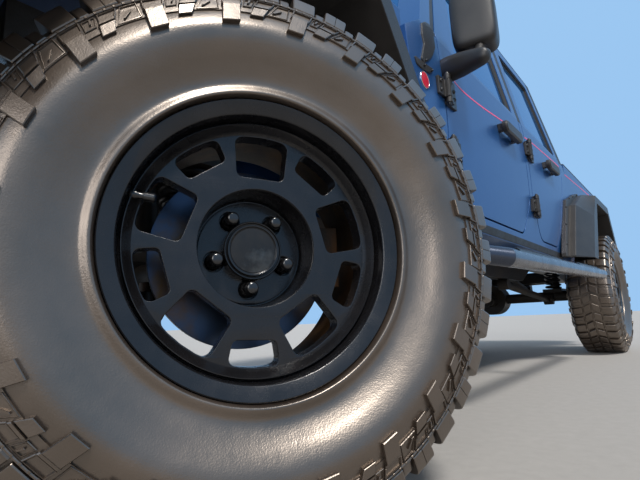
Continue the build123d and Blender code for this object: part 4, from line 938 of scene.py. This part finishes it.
def seal_windows():
    """Rubber run channels and seals round the door windows."""
    for side, word in SIDES:
        for place, corners in WINDOWS.items():
            glass = Skin(f"door_glass_{place}_{word}")
            low_x, high_x = [glass.hit(side, corners[2][0] - 0.15, z)[0].x for z in (GLASS_LOW, GLASS_HIGH)]
            slope = (high_x - low_x) / (GLASS_HIGH - GLASS_LOW)

            def lift(points, height):
                """Points (y, z) laid on the glass, at a height over it."""
                return [at(low_x + slope * (z - GLASS_LOW) + side * height, y, z) for y, z in points]

            outline = rounded(corners, 0.02, 4)
            shape = Shape()
            shape.grid([lift(shrink(outline, inset), height) for inset, height in SEAL], closed=True)
            if place == "front":
                start, end = corners[3][0] - 0.045, corners[3][0] - 0.018
                section = [(start, -0.0005), (start, 0.005), (start + 0.005, 0.0065), (end, 0.0065), (end, 0)]
                shape.grid([lift([(y, z) for z in DIVIDER_Z], height) for y, height in section])
            piece = shape.build(f"window_seal_{place}_{word}", "seal_rubber")
            ride(piece, f"door_{place}_{word}", "black_plastic")


MIRROR_START = (0.79, 0.934, 1.238)
MIRROR_END = (0.948, 0.885, 1.207)
MIRROR_HEAD = (0.912, 0.948, 1.395)
MIRROR_TURN = 12
MIRROR_HALF = (0.0795, 0.1195)
MIRROR_DOME = 0.0525
DOME_POWER = 5.2
DOME_STEPS = 12
# The arm as (share of its way, half height, half depth)
MIRROR_ARM = [
    (0.0, 0.044, 0.037), (0.15, 0.0455, 0.038), (0.45, 0.043, 0.036), (0.75, 0.036, 0.031),
    (0.98, 0.03, 0.027), (1.07, 0.026, 0.024), (1.13, 0.019, 0.018), (1.155, 0.01, 0.01),
    (1.16, 0.001, 0.001),
]
# The head's rim and its glass as (size, depth)
MIRROR_RIM = [(1.0, 0.03), (0.998, 0.046), (0.985, 0.05), (0.955, 0.0505), (0.94, 0.049), (0.938, 0.047)]
MIRROR_GLASS = [(0.938, 0.0475), (0.92, 0.0482), (0.5, 0.0482), (0.001, 0.0482)]


def squircle(count, power):
    """Points round a rounded square that reaches from -1 to 1."""
    turns = [2 * math.pi * k / count for k in range(count)]
    return [[math.copysign(abs(v) ** power, v) for v in (math.cos(turn), math.sin(turn))] for turn in turns]


def door_mirrors():
    """Rounded shells over the mirrors' arms and heads, with their glasses."""
    start, head = Vector(MIRROR_START), Vector(MIRROR_HEAD)
    turn = Matrix.Rotation(math.radians(MIRROR_TURN), 3, "Z")
    reach = Vector(MIRROR_END) - start
    way = reach.normalized()
    up = (Vector((0, 0, 1)) - way * way.z).normalized()
    across = way.cross(up)
    arm = []
    for share, height, depth in MIRROR_ARM:
        ring = squircle(36, 0.75)
        arm.append([at(*(start + reach * share + up * (u * height) + across * (v * depth))) for u, v in ring])

    shell = [(0.001, -0.0528), (0.2, -0.0527)]
    for k in range(DOME_STEPS + 1):
        y = -MIRROR_DOME * math.cos(math.pi / 2 * k / DOME_STEPS)
        shell.append((max(1 - (-y / 0.0526) ** DOME_POWER, 0.0) ** (1 / DOME_POWER), y))

    def rings(levels):
        """The head's outline at (size, depth) levels."""
        rows = []
        for size, y in levels:
            points = [Vector((u * MIRROR_HALF[0] * size, y, v * MIRROR_HALF[1] * size))
                      for u, v in squircle(72, 0.36)]
            rows.append([at(*(head + turn @ point)) for point in points])
        return rows

    for side, word in SIDES:
        shape = Shape()
        shape.grid(arm, closed=True)
        shape.grid(rings(shell + MIRROR_RIM), closed=True)
        shape.grid(rings(MIRROR_GLASS), 1, closed=True)
        shape.verts = [(side * x, y, z) for x, y, z in shape.verts]
        piece = shape.build(f"mirror_{word}", "black_plastic", "mirror_glass")
        ride(piece, f"door_front_{word}", "black_plastic")


SPRING_X = 0.5
SPRING_TOPS = [(FRONT_AXLE_Y, 0.69), (REAR_AXLE_Y, 0.727)]
SPRING_TURNS = 6.5
SPRING_STEPS = 26
# The turns of each flat end, and the share of the height that it climbs
SPRING_ENDS = 0.7
END_RISE = 0.06
SPRING_WIRE = 0.0082
SPRING_RADIUS = 0.0535


def coil_springs():
    """Springs of wound bar, with nearly flat end turns, in place of the plain sleeves."""
    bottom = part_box("springs")[0].z + SPRING_WIRE
    steps = int(SPRING_TURNS * SPRING_STEPS)
    shape = Shape()
    for axle_y, top in SPRING_TOPS:
        for x in (-SPRING_X, SPRING_X):
            path = []
            for k in range(steps + 1):
                t = k / steps * SPRING_TURNS
                ends = (min(t, SPRING_ENDS) + max(t - SPRING_TURNS + SPRING_ENDS, 0)) / SPRING_ENDS
                rise = min(max((t - SPRING_ENDS) / (SPRING_TURNS - 2 * SPRING_ENDS), 0), 1)
                z = bottom + (top - bottom - SPRING_WIRE) * (END_RISE * ends + (1 - 2 * END_RISE) * rise)
                u, v = SPRING_RADIUS * math.cos(2 * math.pi * t), SPRING_RADIUS * math.sin(2 * math.pi * t)
                path.append((x + u, axle_y + v, z))
            shape.tube(path, SPRING_WIRE, 10)
    ride(shape.build("coil_springs", "spring_steel"), "truck", "spring_steel", "springs")


# Step bars: the line of their middles as (y, z), and where their plates start and end
STEP_X = 0.945
STEP_ENDS = (0.76, 0.495), (2.92, 0.547)
TREADS = [(0.98, 1.56), (1.98, 2.56)]
TREAD_SECTION = [
    (-0.024, 0.018), (-0.022, 0.0275), (-0.014, 0.0318), (0.014, 0.0318), (0.022, 0.0275), (0.024, 0.018),
]
TOOTH_PITCH = 0.018


def step_z(y):
    (y0, z0), (y1, z1) = STEP_ENDS
    return z0 + (z1 - z0) * (y - y0) / (y1 - y0)


def side_block(shape, side, low, high, chamfer, finish=0):
    """A block on one side, between the corners that it has on the left, from the front axle's middle."""
    (x0, y0, z0), (x1, y1, z1) = low, high
    shape.block(at(side * x0, y0, z0), at(side * x1, y1, z1), chamfer, finish)


def step_treads():
    """Serrated plates along the top of both step bars."""
    for side, word in SIDES:
        shape = Shape()
        for start, end in TREADS:
            for k in range(int((end - start) / TOOTH_PITCH)):
                y = start + k * TOOTH_PITCH
                z = step_z(y) + 0.0305
                for x in (STEP_X - 0.013, STEP_X + 0.002):
                    side_block(shape, side, (x, y, z), (x + 0.011, y + 0.012, z + 0.0065), 0.002)
            ends = (start - 0.012, step_z(start)), (end + 0.012, step_z(end))
            shape.grid([[at(side * (STEP_X + x), y, z + h) for x, h in TREAD_SECTION] for y, z in ends])
        ride(shape.build(f"step_treads_{word}", "bolt_steel"), "truck", "step_steel")


PAD_AROUND = 104
PAD_OVER = 44
PAD_PULL = 0.035
PAD_CORNER, PAD_RISE, PAD_FLAT = 0.4, 0.62, 0.42
CHANNEL_DEPTH, CHANNEL_WIDTH = 0.011, 0.007
PIPING = 0.0032


def pad(name, place, turn, size, lines=()):
    """A sewn pad: a crowned closed form with pulled-in sides, a piped seam and sewn channels on its face.

    Lines are (axis, position, start, end) of the channels, in the pad's own metres, on its +z face.
    """
    a, b, c = [v / 2 for v in size]
    ring = squircle(PAD_AROUND, PAD_CORNER)

    def pulled(x, y):
        return a * x * (1 - PAD_PULL * (1 - y * y)), b * y * (1 - PAD_PULL * (1 - x * x))

    rows = []
    for i in range(PAD_OVER + 1):
        v = -math.pi / 2 + math.pi * i / PAD_OVER
        rise = math.copysign(abs(math.sin(v)) ** PAD_RISE, v)
        flat = max(math.cos(v), 0.0) ** PAD_FLAT
        row = []
        for u, w in ring:
            x, y = flat * u, flat * w
            px, py = pulled(x, y)
            pz = c * rise * (0.8 + 0.2 * (1 - x ** 4) * (1 - y ** 4))
            if pz > 0:
                for axis, position, start, end in lines:
                    along, off = (py, px - position) if axis == "x" else (px, py - position)
                    if start < along < end:
                        pz -= CHANNEL_DEPTH * math.exp(-(off / CHANNEL_WIDTH) ** 2)
            row.append((px, py, pz))
        rows.append(row)
    shape = Shape()
    shape.grid(rows, closed=True)
    shape.tube([(*pulled(u, v), 0.0) for u, v in ring + ring[:1]], PIPING, 6, 1)
    matrix = Matrix.Translation(place) @ turn.to_4x4()
    piece = shape.build(name, "seat_fabric", "trim_grey", matrix=matrix, sharp=70)
    ride(piece, "truck", "seat_fabric")


SEAT_X = 0.38
SEAT_CHANNELS = [("x", -0.13, -0.2, 0.22), ("x", 0.13, -0.2, 0.22), ("y", -0.05, -0.13, 0.13),
                 ("y", 0.1, -0.13, 0.13)]
BENCH_CHANNELS = [("x", x, -0.25, 0.25) for x in (-0.32, -0.1, 0.1, 0.32)]
SEAT_FLOOR, SEAT_TOP = BASE + 0.758, BASE + 0.905


def tilt(degrees):
    return Matrix.Rotation(math.radians(degrees), 3, "X")


def seats():
    """Two front seats and a rear bench, with plain bases under them."""
    about = Matrix.Rotation(math.radians(180), 3, "Z")
    for side, word in SIDES:
        x, lean = side * SEAT_X, tilt(75) @ about
        pad(f"seat_cushion_{word}", at(x, 1.715, 0.94), tilt(2), (0.47, 0.54, 0.155), SEAT_CHANNELS)
        pad(f"seat_back_{word}", at(x, 2.035, 1.29), lean, (0.46, 0.66, 0.13), SEAT_CHANNELS)
        pad(f"seat_head_{word}", at(x, 2.117, 1.69), lean, (0.26, 0.15, 0.098))
    pad("bench_cushion", at(0, 2.475, 0.935), tilt(0), (1.22, 0.4, 0.15), BENCH_CHANNELS)
    pad("bench_back", at(0, 2.745, 1.27), tilt(82) @ about, (1.22, 0.56, 0.1), BENCH_CHANNELS)
    base = Shape()
    for x in (-SEAT_X, SEAT_X):
        base.block(at(x - 0.16, 1.5, SEAT_FLOOR), at(x + 0.16, 1.93, SEAT_TOP), 0.012)
        base.block(at(x - 0.235, 1.98, BASE + 0.93), at(x - 0.218, 2.03, BASE + 1.05), 0.004)
        for post in (x - 0.05, x + 0.05):
            base.tube([at(post, 2.085, 1.58), at(post, 2.112, 1.66)], 0.006, 10, 1)
    base.block(at(-0.56, 2.34, SEAT_FLOOR), at(0.56, 2.7, SEAT_TOP), 0.012)
    ride(base.build("seat_bases", "dash_plastic", "bright_metal"), "truck", "dash_plastic", "seats")


# Door linings as (y, z): the card, its sunk insert, the armrest's start, end and height, and the speaker
DOOR_CARDS = {
    "front": ([(0.985, 0.785), (1.79, 0.785), (1.835, 0.83), (1.835, 1.335), (0.955, 1.335), (0.955, 0.83)],
              [(1.12, 1.16), (1.78, 1.16), (1.78, 1.3), (1.06, 1.3)], (1.36, 1.74, 1.085), (1.12, 0.93)),
    "rear": ([(2.08, 0.9), (2.18, 0.8), (2.46, 0.8), (2.52, 0.87), (2.61, 1.03), (2.72, 1.21), (2.79, 1.335),
              (2.06, 1.335), (2.06, 0.92)],
             [(2.13, 1.16), (2.6, 1.16), (2.68, 1.3), (2.13, 1.3)], (2.22, 2.52, 1.085), (2.27, 0.93)),
}
SPEAKER = [
    (0.0, 0.078), (0.004, 0.077), (0.006, 0.073), (0.003, 0.069), (0.0045, 0.04), (0.0065, 0.02),
    (0.007, 0.0001),
]


def door_linings():
    """Lining cards inside the doors, each with an armrest, a pull, a lever and a speaker."""
    for place, (card, insert, (start, end, z), speaker) in DOOR_CARDS.items():
        for side, word in SIDES:
            lining = Lining(f"door_{place}_{word}")
            shape = skin_plate(lining, side, rounded(card, 0.03, 4), 0.005, 0.003)
            shape.join(skin_plate(lining, side, rounded(insert, 0.03, 4), 0.009, 0.003), 1)
            side_block(shape, side, (0.672, start, z - 0.03), (0.738, end, z + 0.026), 0.014)
            side_block(shape, side, (0.684, start + 0.05, z + 0.022), (0.722, end - 0.08, z + 0.03), 0.004, 2)
            lever = end - 0.05 if place == "rear" else start - 0.09
            path = (0.736, 0, 0.07), (0.712, 0.012, 0.072), (0.708, 0.075, 0.074)
            shape.tube([at(side * x, lever + y, z + h) for x, y, h in path], [0.009, 0.008, 0.006], 10, 2)
            shape.put(turned(SPEAKER, 48), at(side * 0.7275, *speaker), (-side, 0, 0), 2)
            piece = shape.build(f"door_lining_{place}_{word}", "dash_plastic", "seat_fabric", "trim_grey")
            ride(piece, f"door_{place}_{word}", "dash_plastic")


HEADLAMP = (0.44, -0.56, 1.095)
BEZEL = [(0.004, 0.093), (0.01, 0.0935), (0.016, 0.092), (0.018, 0.0895), (0.016, 0.0868), (0.008, 0.0855)]
BOWL = [(0.0135, 0.03), (0.0185, 0.029), (0.02, 0.027), (0.019, 0.025), (0.0215, 0.0001)]


def headlamp_bezels():
    """Bezels of the head lamps, and the bowls inside them."""
    shape = Shape()
    x, y, z = HEADLAMP
    for side in (-1, 1):
        for profile, steps, finish in ((BEZEL, 80, 0), (BOWL, 48, 1)):
            shape.put(turned(profile, steps), at(side * x, y, z), (0, -1, 0), finish)
    ride(shape.build("headlamp_bezels", "gloss_black", "bright_metal"), "truck", "lamp_lens")


# Evenly spaced things have their count, first place and pitch.
TAIL_RIBS = 5, 1.088, 0.046
PALE_RIB = 3


def tail_lenses():
    """Ribbed lenses over the tail lamps, each with one pale rib."""
    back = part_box("lamps")[1].y + 0.0012
    for side, word in SIDES:
        lens = Shape()
        x0, x1 = side * 0.7255, side * 0.781
        lens.block((x0, back - 0.0252, 1.0735), (x1, back, 1.3165), 0.004)
        for k, z in enumerate(spaced(*TAIL_RIBS)):
            low, high = (x0 + side * 0.006, back - 0.002, z), (x1 - side * 0.006, back + 0.0016, z + 0.036)
            lens.block(low, high, 0.0012, int(k == PALE_RIB))
        ride(lens.build(f"tail_lens_{word}", "tail_red", "lamp_lens"), "truck", "lamp_lens")


# Upright and level wires of the grille's mesh
UPRIGHT_WIRES = 62, -0.305, 0.01
LEVEL_WIRES = 30, 0.92, 0.0102


def grille_mesh():
    """Crossing wires behind the grille's openings."""
    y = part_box("grille")[1].y
    shape = Shape()
    for x in spaced(*UPRIGHT_WIRES):
        shape.block((x - 0.0012, y - 0.006, 0.918), (x + 0.0012, y - 0.004, 1.222), 0.0004)
    for z in spaced(*LEVEL_WIRES):
        shape.block((-0.308, y - 0.0052, z - 0.0011), (0.308, y - 0.0036, z + 0.0011), 0.0004)
    ride(shape.build("grille_mesh", "grille_black"), "truck", "grille_black")


RADIATOR_ROWS = 17, 0.85, 0.0205


def radiator():
    """A finned core between two end tanks, behind the grille."""
    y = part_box("grille")[0].y
    shape = Shape()
    shape.block((-0.335, y + 0.075, 0.835), (0.335, y + 0.105, 1.195), 0.004, 1)
    for side in (-1, 1):
        shape.block((side * 0.332, y + 0.07, 0.83), (side * 0.375, y + 0.112, 1.2), 0.01)
    for z in spaced(*RADIATOR_ROWS):
        shape.block((-0.334, y + 0.071, z), (0.334, y + 0.076, z + 0.006), 0.001)
    ride(shape.build("radiator", "seal_rubber", "bolt_steel"), "truck", "grille_black")


LATCH = (-0.43, 1.262)


def hood_latches():
    """A base, a strap and its pin on each side of the hood."""
    y, z = LATCH
    for side, word in SIDES:
        x = abs(Skin("hood").hit(side, y, z)[0].x)
        latch = Shape()
        side_block(latch, side, (x - 0.004, y - 0.022, z - 0.022), (x + 0.007, y + 0.022, z + 0.028), 0.003)
        side_block(latch, side, (x + 0.004, y - 0.012, z - 0.016), (x + 0.016, y + 0.012, z + 0.038), 0.004)
        latch.tube([at(side * (x + 0.01), y + end, z + 0.03) for end in (-0.02, 0.02)], 0.005, 10)
        ride(latch.build(f"hood_latch_{word}", "black_plastic"), "hood", "black_plastic")


# The windshield's lower and upper edge, and each wiper's pivot and reach
SCREEN_FOOT = at(0, 0.775, BASE + 1.425)
SCREEN_HEAD = at(0, 1.118, BASE + 2.04)
WIPERS = [(0.42, -0.5), (-0.1, -0.46)]


def wipers():
    """Two wipers parked along the foot of the windshield: spindle, arm, bow and blade."""
    up = (SCREEN_HEAD - SCREEN_FOOT).normalized()
    out = Vector((0, -up.z, up.y))
    shape = Shape()
    for pivot, reach in WIPERS:
        def screen(x, height, lift):
            """A point at a share of the reach beside the pivot, up the glass and out from it."""
            side = Vector((pivot + reach * x, 0, 0))
            return SCREEN_FOOT + side + up * (0.035 + height) + out * (0.006 + lift)

        shape.tube([screen(0, 0, -0.012), screen(0, 0, 0.022)], 0.013, 14)
        shape.tube([screen(0, 0, 0.018), screen(0.12, 0.012, 0.026), screen(0.5, 0.052, 0.02)],
                   [0.009, 0.006, 0.004], 8)
        shape.tube([screen(-0.02, 0.04, 0.02), screen(0.5, 0.052, 0.023), screen(1.02, 0.064, 0.02)],
                   [0.004, 0.006, 0.004], 6)
        shape.tube([screen(-0.02, 0.04, 0.012), screen(1.02, 0.064, 0.012)], 0.0035, 6)
    ride(shape.build("wipers", "black_plastic"), "truck", "black_plastic")


BED_FLOOR_Z = BASE + 0.87
RIBS = 13, -0.6, 0.1
RIB_START, RIB_END = 3.075, 4.5
# A rib's section as (offset, height), where None stands for the rib's own height there
RIB_SECTION = [(-0.026, -0.001), (-0.018, None), (0.018, None), (0.026, -0.001)]


def bed_ribs():
    """Ribs along the load floor, which slope down to it at both ends."""
    shape = Shape()
    ends = (RIB_START, -0.001), (RIB_START + 0.02, 0.008), (RIB_END - 0.02, 0.008), (RIB_END, -0.001)
    for x in spaced(*RIBS):
        shape.grid([[at(x + dx, y, BED_FLOOR_Z + (top if h is None else h)) for dx, h in RIB_SECTION]
                    for y, top in ends])
    ride(shape.build("bed_ribs", "top_black"), "truck", "body_paint")


BED_TOP_Z = BASE + 1.435
TIE_DOWNS = [3.25, 3.85, 4.4]
TIE_DOWN = [(0.0, 0.02), (0.004, 0.022), (0.01, 0.021), (0.012, 0.017), (0.01, 0.013), (0.0, 0.012)]


def bed_rails():
    """Caps along the bed's sides, with tie-down rings below them."""
    for side, word in SIDES:
        rail = Shape()
        side_block(rail, side, (0.722, 3.015, BED_TOP_Z - 0.006), (0.783, 4.57, BED_TOP_Z + 0.0085), 0.005)
        for y in TIE_DOWNS:
            rail.put(turned(TIE_DOWN, 24), at(side * 0.7245, y, BED_TOP_Z - 0.09), (-side, 0, 0))
        ride(rail.build(f"bed_rail_{word}", "black_plastic"), "truck", "black_plastic")


def tailgate_handle():
    """A bezel and a paddle near the tailgate's upper edge."""
    y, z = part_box("tailgate")[1][1:]
    shape = Shape()
    shape.block((-0.11, y - 0.004, z - 0.15), (0.11, y + 0.006, z - 0.07), 0.004)
    shape.block((-0.085, y + 0.004, z - 0.135), (0.085, y + 0.014, z - 0.095), 0.005)
    ride(shape.build("tailgate_handle", "black_plastic"), "tailgate", "black_plastic")


# Bolts along the flares' flanges, as (y, z) with y from the flare's own axle
FRONT_BOLTS = [
    (-0.58, 0.8), (-0.5, 0.93), (-0.39, 1.08), (-0.28, 1.19), (-0.1, 1.19), (0.1, 1.19), (0.28, 1.19),
    (0.39, 1.08), (0.5, 0.93), (0.58, 0.8),
]
REAR_BOLTS = [
    (-0.915, 0.74), (-0.84, 0.88), (-0.76, 1.01), (-0.62, 1.095), (-0.48, 1.135), (-0.3, 1.182),
    (-0.1, 1.182), (0.1, 1.182), (0.3, 1.182), (0.45, 1.01), (0.58, 0.86), (0.665, 0.74),
]


def flare_bolts():
    """Bolt heads along the flanges of the wheel-arch flares."""
    shape, skin = Shape(), Skin("wheel_arch_trim")
    for side in (1, -1):
        bolt_on(shape, skin, side, FRONT_BOLTS, BODY_X)
        bolt_on(shape, skin, side, [(REAR_AXLE_Y - FRONT_AXLE_Y + y, z) for y, z in REAR_BOLTS], BODY_X)
    ride(shape.build("flare_bolts", "bolt_steel"), "truck", "black_plastic")


NODE_SHARP = 32


def dress_nodes():
    """Every carried-over node takes its slot's finish, apart from the black hard top."""
    slots = {part["node"]: part["material_slot"] for part in frame["record"]["subparts"]}
    slots["hard_top"] = "top_black"
    for name, node in NODES.items():
        mesh = node.data
        mesh.materials.clear()
        mesh.materials.append(MATERIALS[slots[name]].data)
        mesh.polygons.foreach_set("use_smooth", [True] * len(mesh.polygons))
        mesh.set_sharp_from_angle(angle=math.radians(NODE_SHARP))


FLOOR_HALF = 60
WORLD_LIGHT = (0.8, 0.9, 1.0, 1)
WORLD_STRENGTH = 0.26
WORLD_SEEN = (0.33, 0.57, 0.88, 1)


def make_stage():
    """A pale floor, and a world with soft light whose sky shows to the camera, in gloss and in glass."""
    shape = Shape()
    corners = [(x * FLOOR_HALF, y * FLOOR_HALF, 0) for x, y in ((-1, -1), (1, -1), (1, 1), (-1, 1))]
    shape.add(corners, [(0, 1, 2, 3)])
    Material("floor", (0.35, 0.345, 0.34), 0.8).mottle((0.38, 0.375, 0.37), 30).bump(300, 0.0004)
    floor = shape.build("floor", "floor")

    world = bpy.data.worlds.new("studio")
    scene.world = world
    world.use_nodes = True
    nodes = Nodes(world.node_tree)
    lit = nodes.tree.nodes["Background"]
    nodes.fill(lit, {"Color": WORLD_LIGHT, "Strength": WORLD_STRENGTH})
    seen = nodes.node("Background", {"Color": WORLD_SEEN})["Background"]
    ray = nodes.node("LightPath", {})
    either = ray["Is Camera Ray"]
    for kind in ("Is Glossy Ray", "Is Transmission Ray"):
        either = nodes.node("Math", {0: either, 1: ray[kind]}, operation="MAXIMUM")["Value"]
    mix = nodes.node("MixShader", {"Fac": either, 1: lit.outputs["Background"], 2: seen})["Shader"]
    nodes.fill(nodes.tree.nodes["World Output"], {"Surface": mix})


# Soft discs of sky: the direction each stands towards, its width in degrees, its strength and its colour
LIGHTS = {
    "key": ((0.5, -0.27, 0.82), 11, 3.5, (1.0, 0.94, 0.86)),
    "front": ((0.34, -0.88, 0.3), 30, 1.1, (1.0, 0.93, 0.86)),
    "rear": ((-0.6, 0.7, 0.5), 40, 0.8, (0.88, 0.94, 1.0)),
}


def make_lights():
    for name, (towards, spread, strength, colour) in LIGHTS.items():
        data = bpy.data.lights.new(name, "SUN")
        data.angle, data.energy, data.color = math.radians(spread), strength, colour
        lamp = bpy.data.objects.new(name, data)
        scene.collection.objects.link(lamp)
        lamp.rotation_euler = Vector(towards).to_track_quat("Z", "Y").to_euler()


for step in (
        make_camera, make_materials, dress_nodes, place_wheels, trim_sides, seal_windows, door_mirrors,
        coil_springs, step_treads, seats, door_linings, headlamp_bezels, tail_lenses, grille_mesh, radiator,
        hood_latches, wipers, bed_ribs, bed_rails, tailgate_handle, flare_bolts, make_stage, make_lights):
    step()

scene.view_settings.view_transform = "Standard"
